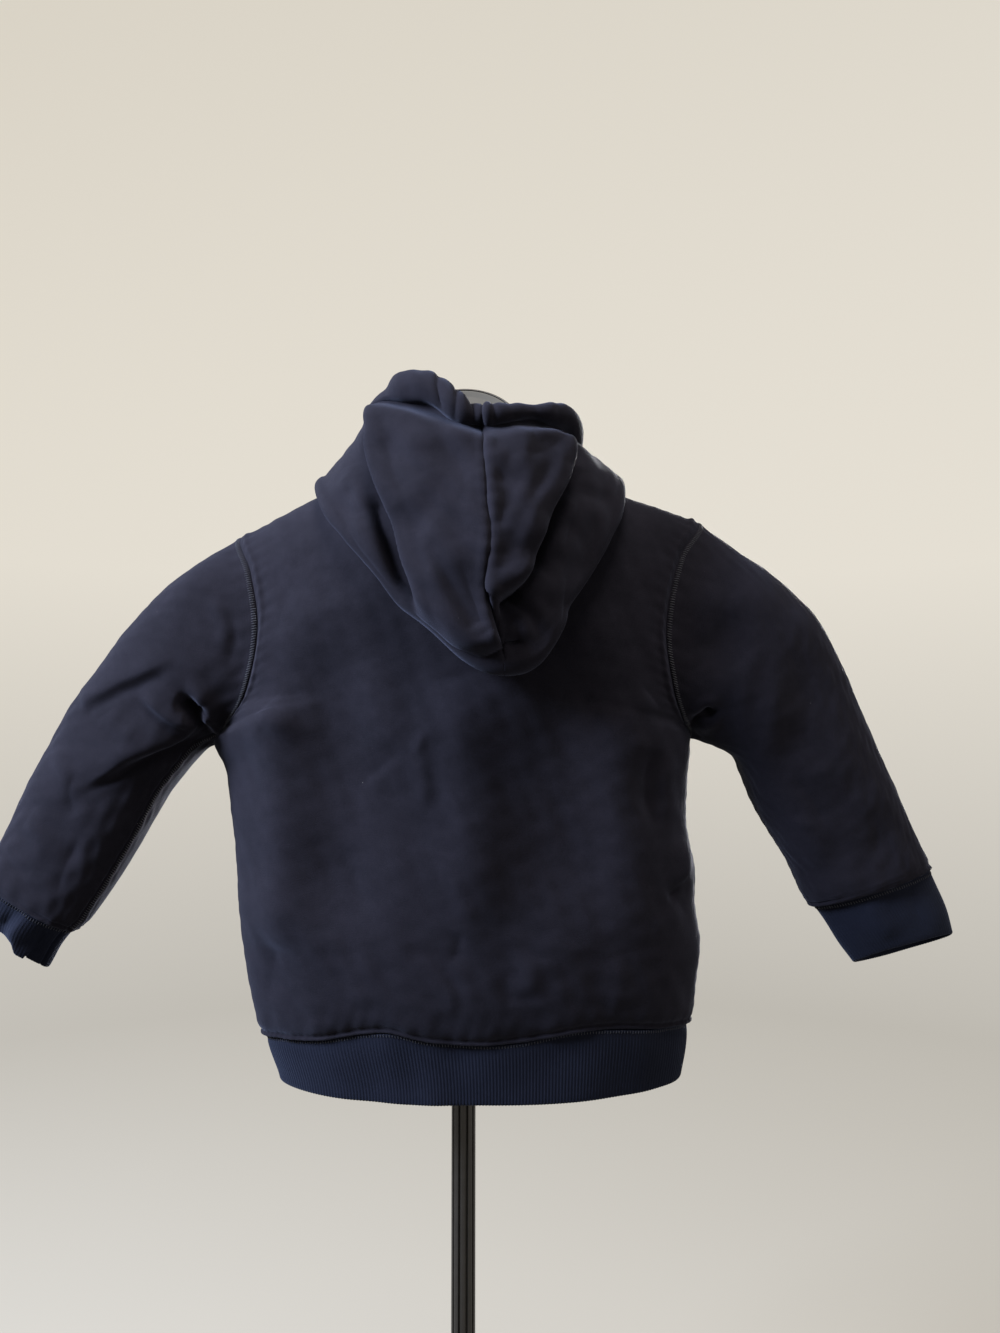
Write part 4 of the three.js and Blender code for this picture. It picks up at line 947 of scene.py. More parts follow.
# Cuffs: rib tubes, set inside the ends of the sleeves. Rows are as the sleeves', and then how far the tube's
# back is lifted and its front lowered.
cuffRows = {
    "left": [(305, 132, 248, 98, 19, 12, 0), (308, 118, 258, 88, 15, 12, 1), (310, 104, 265, 75, 13, 12, 3)],
    "right": [(307, 135, 228, 110, 19, -7, 0), (315, 112, 243, 92, 15, -7, 2), (321, 92, 256, 74, 12, -7, 5)],
}
cuffSeatIn = 1.5
cuffFolds = {
    "left": [
        ("fold", [(277, 82), (282, 90), (281, 97), (274, 105), (266, 112)], 3.2, 9,
         (0.05, 0.5), 0.5),
        ("crease", [(262, 104), (266, 95), (272, 86)], 1.3, 3),
        ("ridge", [(296, 118), (292, 110), (286, 104)], 1.4, 5),
    ],
    "right": [
        ("ridge", [(-262, 118), (-268, 104), (-276, 90)], 1.2, 8),
        ("crease", [(-288, 124), (-292, 110), (-298, 96)], 0.8, 6),
    ],
}
cuffPush = {"left": 4.5, "right": 0.0}  # how far the outer part of the edge is crumpled up
cuffs = {}


def makeCuff(side):
    rows = cuffRows[side]

    def ringAt(at):
        return tubeRing(side, rows[1][:6], at)

    around = runLength(ringAt(np.linspace(0, 2 * math.pi, fineTurns)))[-1]
    count = int(round(around / ribPitch)) * len(ribPhase)
    turn = evenTurns(ringAt, count)
    rings = np.array([tubeRing(side, row[:6], turn, -cuffSeatIn if k == 0 else 0.0, row[6])
                      for k, row in enumerate(rows)])
    knots = runLength(rings).mean(1)
    grid = spline(knots, rings, np.linspace(0, knots[-1], cuffGridRows), openEnds=True)[::-1]
    x, h = grid[..., 0], grid[..., 2]
    behind = np.sin(turn)[None, :]
    added = foldsOn(x, h, cuffFolds[side]) * ease((behind + 0.05) / 0.35)
    below = fromEdge(grid, "low")
    added += 0.7 * bell(below - 14, 12) + unevenness(x, h, 0.45, (24, 50))
    run = fromEdge(grid, "first")
    seamRun = np.array([np.interp(sleeveSeamTurn[side], turn, line) for line in run])[:, None]
    added += 0.5 * bell(run - seamRun - 2.5, 2.0) - 0.9 * bell(run - seamRun, 0.9)
    upward = unit(grid[-1] - grid[0])
    pushed = cuffPush[side] * ease((np.abs(grid[0, :, 0]) - 279) / 5)[None, :] * np.exp(-below / 12)
    normals, flipped = normalsOf(grid, wrap=True)
    grid = grid + normals * added[..., None] + upward * pushed[..., None]
    cuffs[side] = grid
    piece = ribObject("cuff_ribbing_" + side, grid, normals, ribThick, True, flipped, 0.07)
    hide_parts("cuff_" + side)
    return piece


cuffPieces = {side: makeCuff(side) for side in ("left", "right")}
print("cuffs made")


# The hood: a pouch hung from the neck seam. By stations round the neck, from centre back (0) to centre front,
# the cloth runs out to a fold, bends round it, climbs back up and rolls over at the opening's edge.
hoodRows = {
    "left": table(
        "turn foldOut foldUp slope bend belly topOut topUp roll",
        (0, 75, 259, 90, 9, 8, 73, 419, 6), (15, 75, 266, 90, 9, 8, 71, 430, 9),
        (28, 78, 286, 86, 9, 7, 69, 443, 12), (48, 83, 321, 78, 9, 6, 66, 442, 12),
        (72, 90, 356, 60, 10, 4, 63, 428, 9), (90, 94, 377, 34, 9, 4, 61, 418, 8),
        (112, 90, 373, 42, 8, 3, 63, 408, 7), (135, 80, 362, 58, 5, 2, 62, 396, 6),
        (158, 69, 350, 72, 5, 2, 60, 382, 5), (174, 64, 344, 78, 4, 1, 58, 369, 4)),
    "right": table(
        "turn foldOut foldUp slope bend belly topOut topUp roll",
        (0, 75, 259, 90, 9, 8, 74, 418, 5), (15, 75, 264, 90, 9, 8, 75, 421, 5),
        (28, 78, 283, 86, 9, 7, 76, 422, 5), (48, 83, 317, 78, 9, 6, 75, 424, 6),
        (72, 90, 357, 60, 10, 6, 67, 418, 7), (90, 95, 381, 34, 10, 6, 65, 414, 7),
        (112, 91, 376, 42, 8, 3, 63, 407, 7), (135, 80, 363, 58, 5, 2, 62, 396, 6),
        (158, 69, 350, 72, 5, 2, 60, 382, 5), (174, 64, 344, 78, 4, 1, 58, 369, 4)),
}
centreSeam = table("height shift", (258, -26), (275, -25), (285, -23.5), (293, -20.5), (299, -16), (307, -17),
                   (320, -18), (333, -18), (347, -18.5), (360, -17), (380, -15), (398, -14), (430, -14))
restLean = table("height shift", (259, -25), (290, -18), (360, -15), (430, -14))
# Where the fold under the rolled edge lies, by station: the angle round the roll, and how deep it is.
grooveRows = {
    "left": table("turn angle deep", (0, -52, 6), (15, -52, 6), (28, -44, 6), (38, -28, 4.5), (50, -4, 1),
                  (60, 4, 0), (174, 0, 1)),
    "right": table("turn angle deep", (0, -52, 5), (15, -55, 6), (28, -58, 7), (48, -60, 7), (60, -50, 3),
                   (72, -30, 1), (174, -20, 1)),
}
hoodRest = 3.4
hoodCentreGap = 5.5
layerGap = 8.0  # at the back, the layer above the lower fold lies this much further out than the one below


skinFrom = 230  # the hood reaches no lower than this


# Points and normals of the shaped body, for laying the hood on it.
def makeSkin():
    grids = [panels[name] for name in ("back", "front_left", "front_right")]
    points = np.concatenate([grid.reshape(-1, 3) for grid in grids])
    normals = np.concatenate([normalsOf(grid)[0].reshape(-1, 3) for grid in grids])
    upper = points[:, 2] > skinFrom
    points, normals = points[upper], normals[upper]
    tree = kdtree.KDTree(len(points))
    for k, point in enumerate(points):
        tree.insert(point, k)
    tree.balance()
    return points, normals, tree


skinPoints, skinNormals, skinTree = makeSkin()


def liftOff(points, rest):
    flat = points.reshape(-1, 3).copy()
    need = np.broadcast_to(rest, points.shape[:-1]).reshape(-1)
    for _ in range(2):
        nearest = np.array([skinTree.find(point)[1] for point in flat])
        clear = ((flat - skinPoints[nearest]) * skinNormals[nearest]).sum(1)
        flat += skinNormals[nearest] * np.maximum(0, need - clear)[:, None]
    return flat.reshape(points.shape)


# The cloth's middle line at each column: out from the neck's axis, up, and how free it is of the neck seam.
def hoodProfile(side, degrees):
    row = {name: column(hoodRows[side], "turn", name, degrees) for name in hoodRows[side]}
    turn = np.radians(degrees)
    isBack = turn <= math.pi / 2
    depth, drop, power = (np.where(isBack, a, b) for a, b in zip(neckEdge["back"], neckEdge["front"]))
    seamOut = np.hypot(neckReach * np.sin(turn), depth * np.cos(turn))
    seamUp = neckHeight - drop * np.abs(np.cos(turn)) ** power
    slope = np.radians(row["slope"])
    along = np.array([np.cos(slope), -np.sin(slope)])
    under = np.array([-np.sin(slope), -np.cos(slope)])
    bend = row["bend"]
    tip = np.array([row["foldOut"], row["foldUp"]]) - bend * along

    def bendAt(angle):
        return tip + bend * (under * math.cos(angle) + along * math.sin(angle))

    start = np.array([seamOut + hoodThick / 2, seamUp + np.where(isBack, 2.2, 3.6)])
    rise = np.array([seamOut + 5, seamUp + 6])
    first = bendAt(0)
    fallen = np.where(row["slope"] > 70, 0.16, 0.45)
    over = np.array([mix(rise[0], first[0], 0.62), mix(rise[1], first[1], fallen) + 1])
    down = np.array([mix(over[0], first[0], 0.8), mix(over[1], first[1], 0.5)])
    bends = [bendAt(math.radians(angle)) for angle in (0, 36, 72, 108, 144, 180)]
    middle = np.array([row["topOut"], row["topUp"] - row["roll"]])

    def rollAt(angle):
        return middle + row["roll"] * np.array([np.cos(np.radians(angle)), np.sin(np.radians(angle))])

    angle, deep = (column(grooveRows[side], "turn", name, degrees) for name in ("angle", "deep"))
    groove = rollAt(angle) - np.array([deep, deep / 5])
    rising = groove - bends[-1]
    rising = rising / np.hypot(*rising)
    out = np.array([rising[1], -rising[0]])
    climb = [mix(bends[-1], groove, share) + row["belly"] * math.sin(math.pi * share) * out
             for share in (0.25, 0.5, 0.75)]
    rolled = [rollAt(mix(angle + 10, 195, share)) for share in (0, 0.15, 0.31, 0.47, 0.64, 0.82, 1)]
    line = np.array([start, rise, over, down, *bends, *climb, groove, *rolled])
    free = np.array([0, 0.1, 0.4, 0.75] + [1] * (len(line) - 4))
    return line, free


leavePoint, groovePoint = 9, 13  # where the profile leaves the lower fold, and where the roll starts
hoodEdges = {
    "left": [(54, 408), (53, 401), (51, 391), (47, 377), (39, 358), (34, 344), (28, 321), (23, 304),
             (20, 289), (14, 280), (-1, 274), (-15, 269), (-24, 262)],
    "right": [(-61, 402), (-62, 393), (-60, 376), (-51, 356), (-46, 342), (-41, 330), (-37, 318), (-30, 309),
              (-20, 301), (-21, 290)],
}
hoodFolds = {
    "left": [
        ("fold", [(21, 334), (13, 318), (4, 299), (-5, 283), (-14, 271), (-22, 262)], 3.0, 8,
         (0.3, 0.1), 0.45),
        ("crease", [(-2, 322), (-8, 304), (-14, 289), (-19, 281)], 2.2, 5, (0.4, 0.1)),
        ("crease", [(18, 312), (12, 296), (3, 283)], 1.4, 4, (0.3, 0.3)),
        ("crease", [(-27, 277), (-22, 272), (-15, 268)], 5.0, 1.9, (0.05, 0.15)),
        ("ridge", [(-12, 287), (-15, 279), (-14, 274)], 1.8, 5),
        ("ridge", [(22, 372), (12, 350), (6, 332)], 1.6, 12),
        ("pit", [(12, 366), (16, 352)], 1.8, 9),
        ("crease", [(34, 356), (26, 344), (14, 338)], 1.5, 6),
        ("ridge", [(36, 398), (24, 392), (8, 394), (-6, 398)], 1.2, 6),
        ("crease", [(43, 398), (38, 384), (34, 368)], 1.1, 5),
        ("crease", [(2, 388), (-4, 370), (-2, 352)], 1.0, 6),
        ("ridge", [(80, 362), (66, 344), (48, 318), (32, 294), (16, 278)], 2.2, 7),
        ("crease", [(53, 368), (45, 349), (39, 331), (33, 314), (25, 298)], 7.5, 5.5, (0.35, 0.25)),
        ("fold", [(64, 378), (57, 356), (50, 336), (43, 317), (33, 300)], 4.2, 11,
         (0.35, 0.25), 0.35),
        ("crease", [(70, 378), (62, 364), (54, 346)], 1.6, 6),
        ("ridge", [(88, 372), (76, 372), (62, 380)], 1.3, 5),
        ("ridge", [(68, 388), (60, 372), (56, 356)], 1.4, 6),
    ],
    "right": [
        ("crease", [(-19, 298), (-27, 302), (-35, 307)], 8.0, 3.6, (0.1, 0.25)),
        ("crease", [(-29, 300), (-38, 293), (-45, 283), (-50, 275)], 1.8, 3.6, (0.1, 0.5)),
        ("ridge", [(-26, 298), (-35, 290), (-42, 280), (-46, 272)], 1.7, 3.4),
        ("ridge", [(-42, 302), (-48, 293), (-52, 284)], 1.6, 3.2),
        ("crease", [(-25, 277), (-30, 277), (-37, 278)], 4.6, 2.0, (0.02, 0.4)),
        ("ridge", [(-27, 286), (-33, 282), (-40, 282)], 1.4, 4),
        ("ridge", [(-34, 384), (-36, 356), (-32, 330)], 1.7, 11),
        ("crease", [(-54, 394), (-46, 386), (-36, 384)], 1.5, 6),
        ("ridge", [(-56, 396), (-50, 398), (-40, 396)], 1.0, 4),
        ("crease", [(-22, 376), (-25, 360), (-23, 340)], 1.2, 5),
        ("pit", [(-28, 366), (-26, 358)], 1.5, 7),
        ("ridge", [(-58, 380), (-50, 364), (-44, 350)], 1.2, 5),
        ("crease", [(-69, 388), (-62, 368), (-54, 350), (-48, 332), (-43, 316)], 7.5, 6.5,
         (0.25, 0.2)),
        ("ridge", [(-90, 352), (-80, 322), (-66, 296), (-50, 272)], 2.4, 8),
        ("crease", [(-74, 372), (-66, 346), (-56, 320)], 2.0, 6),
        ("crease", [(-66, 306), (-54, 288), (-40, 272)], 1.2, 5),
        ("ridge", [(-96, 376), (-84, 374), (-72, 380)], 1.2, 5),
    ],
}
# Pleats across the rolled edge: place, depth and half width.
rollPleats = {
    "left": [(31, 0.7, 3.6), (12, 1.8, 2.2), (2.5, 1.6, 1.9), (-6.5, 1.9, 2.2), (46, 0.8, 5.0)],
    "right": [(-18.5, 1.5, 2.4), (-30, 0.5, 3.6), (-45, 0.7, 3.4), (-58, 0.9, 2.6)],
}
sewReach = 9.0  # how far the first row may be moved to meet the front panel's neckline
sewFrom, sewOver, sewRows = 88, 14, 4  # the stations where this starts, and the rows that follow the first
gapEnd, gapOver = 80, 25  # the stations where the gap between the layers closes
calmFrom, calmOver = 30, 12  # the stations where the profile starts to be evened out
hoodColumns = 150
hoodPitch = {"under": 3.4, "upper": 1.4}  # distance between rows, finer where the cloth shows
edgeProud = 9.5  # the cloth inside the opening's edge stands this far over the cloth beside it
edgeEnd = {"left": 264, "right": 284}  # the step dies away down to this height,
edgeFade = {"left": 14, "right": 22}  # over this much of it,
edgeWhole = {"left": 268, "right": 300}  # and above this one it reaches over the whole layer


# Moves the hood's first rows, in front of the shoulders, down to the panel that they are sewn to.
def sewToFront(grid, side, degrees):
    panel = panels["front_" + side].reshape(-1, 3)
    toPanel = panel[None] - grid[0][:, None]
    nearest = np.linalg.norm(toPanel, axis=2).argmin(1)
    move = toPanel[np.arange(len(nearest)), nearest]
    share = ease((degrees - sewFrom) / sewOver) * (np.linalg.norm(move, axis=1) < sewReach)
    fall = 1 - ease(np.arange(len(grid)) / sewRows)
    return grid + fall[:, None, None] * (share[:, None] * move)[None]


# Moves each point, by its share, towards the middle of its neighbours in the row.
def calmRows(grid, share, passes=8):
    for _ in range(passes):
        grid[:, 1:-1] = mix(grid[:, 1:-1], (grid[:, :-2] + grid[:, 2:]) / 2, share)


def makeHood(side):
    sign = sideSign[side]
    degrees = np.interp(np.linspace(0, 1, hoodColumns), (0, 0.12, 0.68, 1), (0, 5.5, 66, 174))
    turn = np.radians(degrees)
    line, free = hoodProfile(side, degrees)
    out, up = line[:, 0], line[:, 1]
    seamShift = column(centreSeam, "height", "shift", up)
    isFree = free[:, None] == 1
    shift = np.where(isFree, seamShift, column(restLean, "height", "shift", up))
    shift = shift * (1 - ease(degrees / 120)) * ease(free)[:, None]
    bare = out * np.sin(turn) + 0.15 * (1 - ease(degrees / 6))
    bare = np.maximum(bare, np.where(degrees > 90, hoodCentreGap, 0))
    points = np.stack([sign * bare + shift, out * np.cos(turn), up], -1)
    rest = np.where(free > 0, hoodRest, 0.8) + hoodThick / 2
    stackedHere = (1 - ease((degrees - gapEnd) / gapOver))[None, :]
    stacked = ease((np.arange(len(free)) - 4) / (leavePoint - 4))[:, None] * stackedHere
    points = liftOff(points, rest[:, None] + layerGap * stacked)
    beyondSeam = ease((np.arange(len(free)) - 3) / 2)[:, None, None]
    calmRows(points, 0.5 * beyondSeam * ease((degrees - calmFrom) / calmOver)[None, 1:-1, None])
    knots = runLength(points)[:, :70].mean(1)
    steps = []
    for k, length in enumerate(np.diff(knots)):
        pitch = hoodPitch["under" if k < leavePoint - 2 else "upper"]
        steps.append(np.linspace(k, k + 1, max(2, int(round(length / pitch))) + 1)[:-1])
    places = np.concatenate(steps + [[len(knots) - 1]])
    at = np.interp(places, np.arange(len(knots)), knots)
    grid = spline(knots, points, at, openEnds=True)
    climbing = ease((places - leavePoint + 0.4) / 0.8)[:, None] * np.ones(hoodColumns)
    onPanel = climbing * (1 - ease((places - groovePoint + 0.5) / 0.45))[:, None]
    onRoll = ease((places - groovePoint - 0.4) / 1.2)[:, None] * np.ones(hoodColumns)
    x, h = grid[..., 0], grid[..., 2]
    behind = ease(np.cos(turn) * 3)[None, :]
    off, _ = fromLine(x, h, hoodEdges[side])
    inside = -off if side == "left" else off
    reachable = (h > edgeWhole[side]) | (np.abs(off) < 20)
    proud = edgeProud * ease((inside + 1.2) / 3.6) + 1.4 * bell(inside - 5, 4) - 2.4 * bell(inside + 4, 3.4)
    proud *= 1 - ease((h - 396) / 10) * ease((sign * x - 50) / 8)
    lowFade = ease((h - edgeEnd[side]) / edgeFade[side])
    added = proud * onPanel * behind * lowFade * reachable
    added += foldsOn(x, h, hoodFolds[side]) * onPanel * behind
    added += (unevenness(x, h, 1.35, (20, 50)) + unevenness(x, h, 0.28, (9, 20))) * climbing
    fromCentre = fromEdge(grid, "first")
    run = runLength(grid)
    added += (0.4 * bell(fromCentre - 3.2, 2.2) - 2.4 * bell(fromCentre, 0.9)) * climbing
    added += puckers(run, fromCentre, 0.2, 9, 9) * climbing
    for place, deep, wide in rollPleats[side]:
        added -= deep * bell(x - place - 0.12 * (h - 420), wide) * onRoll * behind
    added += 0.8 * np.sin(degrees / 9.0 + places[:, None] * 0.7) * onRoll * (1 - behind)
    normals, flipped = normalsOf(grid, middle=(0, 0, 330))
    facingBack = (normals[..., 1] * climbing * behind).sum() > 0
    if not facingBack:
        normals, flipped = -normals, not flipped
    shaped = grid + normals * added[..., None]
    bulging = 3.2 * bell(inside - 1.0, 2.8) * onPanel * behind * lowFade * (1 - ease((h - 392) / 14))
    shaped[..., 0] += bulging * sign
    clearance = np.where(places > 0.8, hoodThick / 2 + 1.2, hoodThick / 2 + 0.3)
    stacked = ease((places - 4) / (leavePoint - 4))[:, None] * stackedHere
    lifted = liftOff(shaped, clearance[:, None] + (layerGap - 1) * stacked)
    pushed = ease(np.linalg.norm(lifted - shaped, axis=2)) * ease((places - leavePoint) / 1.2)[:, None]
    shaped = lifted
    under = (1 - ease((places - leavePoint) / 1.2))[:, None] * ease((degrees - 8) / 8)
    calmRows(shaped, 0.5 * np.maximum(under, pushed)[:, 1:-1, None])
    shaped = sewToFront(shaped, side, degrees)
    piece = clothObject("hood_cloth_" + side, shaped, hoodThick, flipped=flipped, offset=0)
    finishPiece(piece, fleece)
    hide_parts("hood_" + side)
    return piece


hoodPieces = {side: makeHood(side) for side in ("left", "right")}
print("hood made")


# Seam stitching: small raised threads laid over the seams.
threadRadius = 0.27
threadLift = 0.1
threadWander = 0.12
seamPoints, hemPoints = 400, 1600  # steps for measuring along the sleeve's seam and the hem


# Rungs across a seam, from the near to the far distance on one side of it. The seam is a line of rows and
# columns of the grid, and the step is the way to its side.
def rungsAlong(grid, normals, line, step, near, far, pitch, wrap=False):
    i, j = spacedOn(grid, *line, pitch, wrap)
    beside = readGrid(grid, i + step[0], j + step[1], wrap)
    reach = np.linalg.norm(beside - readGrid(grid, i, j, wrap), axis=1)
    wander = chance.uniform(-threadWander, threadWander, (2, len(i)))
    up = unit(readGrid(normals, i, j, wrap))
    ends = []
    for away in (near + wander[0], far + wander[1]):
        point = readGrid(grid, i + step[0] * away / reach, j + step[1] * away / reach, wrap)
        ends.append(point + up * threadLift)
    return *ends, up


def stitchesOf(name, rungs, radius=threadRadius, arch=0.22):
    threadObject(name, *rungs, radius, arch, thread)


def makeStitches():
    for side in ("left", "right"):
        grid, normals, turn = sleeves[side], sleeveNormals[side], sleeveTurns[side]
        cols = grid.shape[1]
        ring = np.linspace(0, cols, fineTurns)[:-1]
        armhole = (np.zeros_like(ring), ring)
        rungs = rungsAlong(grid, normals, armhole, (1.0, 0.0), 1.5, 4.6, 1.55, wrap=True)
        stitchesOf("armhole_stitches_" + side, rungs)
        rows = np.linspace(3, grid.shape[0] - 4, seamPoints)
        underSeam = (rows, np.full_like(rows, float(np.interp(sleeveSeamTurn[side], turn, np.arange(cols)))))
        rungs = rungsAlong(grid, normals, underSeam, (0.0, 1.0), 0.8, 3.4, 1.5, wrap=True)
        stitchesOf("sleeve_seam_stitches_" + side, rungs, radius=0.22)
        cuff = cuffs[side]
        ring = np.linspace(0, cuff.shape[1], fineTurns)[:-1]
        top = (np.full_like(ring, cuff.shape[0] - 1.6), ring)
        rungs = rungsAlong(cuff, normalsOf(cuff, wrap=True)[0], top, (-1.0, 0.0), 0.2, 2.4, 1.7, wrap=True)
        stitchesOf("cuff_stitches_" + side, rungs, radius=0.2, arch=0.1)
    hem = panels["hem"]
    cols = np.linspace(4, hem.shape[1] - 5, hemPoints)
    line = (np.full_like(cols, hem.shape[0] - 1.0), cols)
    rungs = rungsAlong(hem, panels["hemNormals"], line, (-1.0, 0.0), 0.3, 2.1, 1.8)
    stitchesOf("hem_stitches", rungs, radius=0.2, arch=0.1)


makeStitches()
print("stitches made")


# The zip: two tapes with moulded teeth, a slider with its bail, and a pull hung on the bail.
zipTop = 343
tapeEdge, tapeOuter, tapeThick, tapeSunk = 0.35, 6.7, 0.8, 0.9
toothPitch, toothHalf, toothThick, toothHigh = 2.2, 2.3, 2.4, 0.62
tapeRows = 172


def zipPlace(height):
    rise = (height - ribSeam) / (zipTop + 5 - ribSeam)
    low = column(bodyDepth, "height", "front", height) - bandSink
    onBody = -bodyPoint("left", "front", np.zeros_like(height), np.clip(rise, 0, 1))[:, 1]
    return np.stack([centreLine(height), -np.where(rise <= 0, low, onBody), height], -1)


def smoothZip(height, reach=7):
    around = [zipPlace(np.clip(height + shift, 0, zipTop)) for shift in np.linspace(-reach, reach, 9)]
    return np.concatenate([np.mean(around, 0)[:, :2], height[:, None]], 1)


# One mesh of bevelled blocks. Each has its box, the bevel and the bevel's steps.
def blockMesh(name, parts, material, body=garmentBody, place=None):
    mesh = bpy.data.meshes.new(name)
    blocks = bmesh.new()
    for (x0, x1, y0, y1, z0, z1), bevel, steps in parts:
        made = bmesh.ops.create_cube(blocks, size=1.0)["verts"]
        middle = Vector(((x0 + x1) / 2, (y0 + y1) / 2, (z0 + z1) / 2))
        size = (x1 - x0, y1 - y0, z1 - z0)
        for vert in made:
            vert.co = Vector([c * s for c, s in zip(vert.co, size)]) + middle
        edges = list({edge for vert in made for edge in vert.link_edges})
        bmesh.ops.bevel(blocks, geom=edges, offset=bevel, segments=steps, affect="EDGES", profile=0.6)
    blocks.to_mesh(mesh)
    blocks.free()
    mesh.transform(Matrix.Scale(mm, 4))
    if place is not None:
        mesh.transform(place)
    return finishPiece(linkMesh(name, mesh, smooth=False), material, body)


def makeTape(side):
    heights = np.linspace(0, zipTop, tapeRows)
    at = smoothZip(heights)
    sign = sideSign[side]
    section = np.array([(tapeEdge + 0.3, 0.0), (1.4, 0.25), (2.6, 0.3), (3.0, 0.05), (4.4, 0.0), (5.8, 0.0),
                        (tapeOuter, -0.05)])
    wave = 0.18 * np.sin(heights / 9.0) + 0.12 * np.sin(heights / 3.7)
    x = at[:, 0, None] + sign * section[None, :, 0]
    waving = wave[:, None] * (section[None, :, 0] > 3.5)
    y = at[:, 1, None] + tapeSunk - tapeThick - section[None, :, 1] - waving
    grid = np.stack([x, y, np.broadcast_to(at[:, 2, None], x.shape)], -1)
    flipped = normalsOf(grid, middle=(0, 0, 0))[1]
    piece = clothObject("zip_tape_" + side, grid, tapeThick, flipped=flipped)
    finishPiece(piece, zipTapeCloth)
    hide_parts("zip_" + side)


def makeTeeth(side):
    sign = sideSign[side]
    start = 2.0 + (toothPitch / 2 if side == "left" else 0)
    heights = np.arange(start, zipTop - 9, toothPitch)
    parts = []
    for x, y, z in smoothZip(heights):
        y = y + tapeSunk - tapeThick / 2
        wide = sorted((x - sign * 0.9, x + sign * toothHalf))
        high = (z - toothHigh + hemAbove, z + toothHigh + hemAbove)
        parts.append(((*wide, y - toothThick / 2, y + toothThick / 2, *high), 0.22, 1))
    blockMesh("zip_teeth_" + side, parts, zipTeethPlastic)


def makeStops():
    x, y, z = smoothZip(np.array([3.0]))[0]
    parts = [((x - 3.4, x + 3.4, y - 1.2, y + 1.9, 0.4 + hemAbove, 7.4 + hemAbove), 0.6, 2)]
    x, y, z = smoothZip(np.array([zipTop - 1.5]))[0]
    for side in ("left", "right"):
        wide = sorted((x + sideSign[side] * 0.5, x + sideSign[side] * 2.9))
        parts.append(((*wide, y - 0.9, y + 1.5, z - 1.2 + hemAbove, z + 1.3 + hemAbove), 0.5, 2))
    blockMesh("zip_stops", parts, zipMetal)


sliderSize = {"half": 4.4, "long": 13.0, "thick": 6.4, "slot": 3.7, "cap": 2.4}
bailSize = {"half": 0.8, "long": 5.6, "hole": 3.0, "rise": 3.0, "crown": 1.0}
pullSize = {"half": 3.2, "long": 21.0, "thick": 1.1, "bar": 0.6, "eyeHalf": 1.4, "eyeLong": 4.2}
pivotOut = sliderSize["thick"] / 2 + (bailSize["rise"] - bailSize["crown"]) / 2


def zipFrame():
    ends = zipPlace(np.array([zipTop - sliderSize["long"], zipTop]))
    lean = math.atan2(ends[1, 1] - ends[0, 1], ends[1, 2] - ends[0, 2])
    middle = ends.mean(0) + np.array([0, tapeSunk - 0.5, hemAbove])
    return Matrix.Translation(Vector(middle * mm)) @ Matrix.Rotation(-lean, 4, "X")


def makeSlider():
    size, bow = sliderSize, bailSize
    half, long, thick, slot = size["half"], size["long"], size["thick"], size["slot"]
    top, low = long / 2, -long / 2
    plates = ((-thick / 2, -slot / 2), (slot / 2, thick / 2))
    flanges = ((-thick / 2, -slot / 2 + 0.7), (slot / 2 - 0.7, thick / 2))
    edges = ((-half, -half + 0.8), (half - 0.8, half))
    parts = []
    for deep in plates:
        parts.append(((-half, half, *deep, low + 1.2, top), 0.7, 2))
        parts.append(((-half + 0.9, half - 0.9, *deep, low, low + 3), 0.6, 2))
    parts.append(((-half + 0.5, half - 0.5, -thick / 2, thick / 2, top - 0.4, top + size["cap"]), 0.8, 3))
    parts += [((*wide, *deep, low + 1.4, top - 1), 0.25, 1) for deep in flanges for wide in edges]
    bowWide, bowOut = (-bow["half"], bow["half"]), -thick / 2 - bow["rise"]
    parts.append(((*bowWide, bowOut, bowOut + bow["crown"], -bow["long"] / 2, bow["long"] / 2), 0.35, 2))
    for sign in (-1, 1):
        high = sorted((sign * bow["hole"] / 2, sign * bow["long"] / 2))
        parts.append(((*bowWide, bowOut + 0.3, -thick / 2 + 0.3, *high), 0.3, 2))
    piece = blockMesh("zip_slider_body", parts, zipMetal, place=zipFrame())
    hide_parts("zip_slider")


def makePull():
    size = pullSize
    half, long, thick, bar = size["half"], size["long"], size["thick"], size["bar"]
    eyeHalf, eyeEnd = size["eyeHalf"], -bar - size["eyeLong"]
    grip = (3 - long, 9 - long)
    y = (-thick / 2, thick / 2)
    parts = [
        ((-half + 0.3, half - 0.3, *y, -bar, bar), 0.25, 2),
        ((-half, -eyeHalf, *y, eyeEnd, -bar + 0.3), 0.25, 2),
        ((eyeHalf, half, *y, eyeEnd, -bar + 0.3), 0.25, 2),
        ((-half, half, *y, grip[1], eyeEnd + 0.3), 0.3, 2),
        ((-half, -half + 1.4, *y, grip[0] - 0.2, grip[1] + 0.2), 0.3, 2),
        ((half - 1.4, half, *y, grip[0] - 0.2, grip[1] + 0.2), 0.3, 2),
        ((-half + 0.2, half - 0.2, *y, bar - long, grip[0]), 0.3, 2),
        ((-half + 0.9, half - 0.9, -thick / 2 - 0.12, thick / 2 + 0.12, grip[1] + 1.2, eyeEnd - 1.2), 0.3, 2),
    ]
    place = zipFrame() @ Matrix.Translation(Vector((0, -pivotOut * mm, 0)))
    piece = blockMesh("zip_pull_tab", parts, zipMetal, pullBody, place)
    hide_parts("zip_pull")


for side in ("left", "right"):
    makeTape(side)
    makeTeeth(side)
makeStops()
makeSlider()
makePull()
print("zip made")


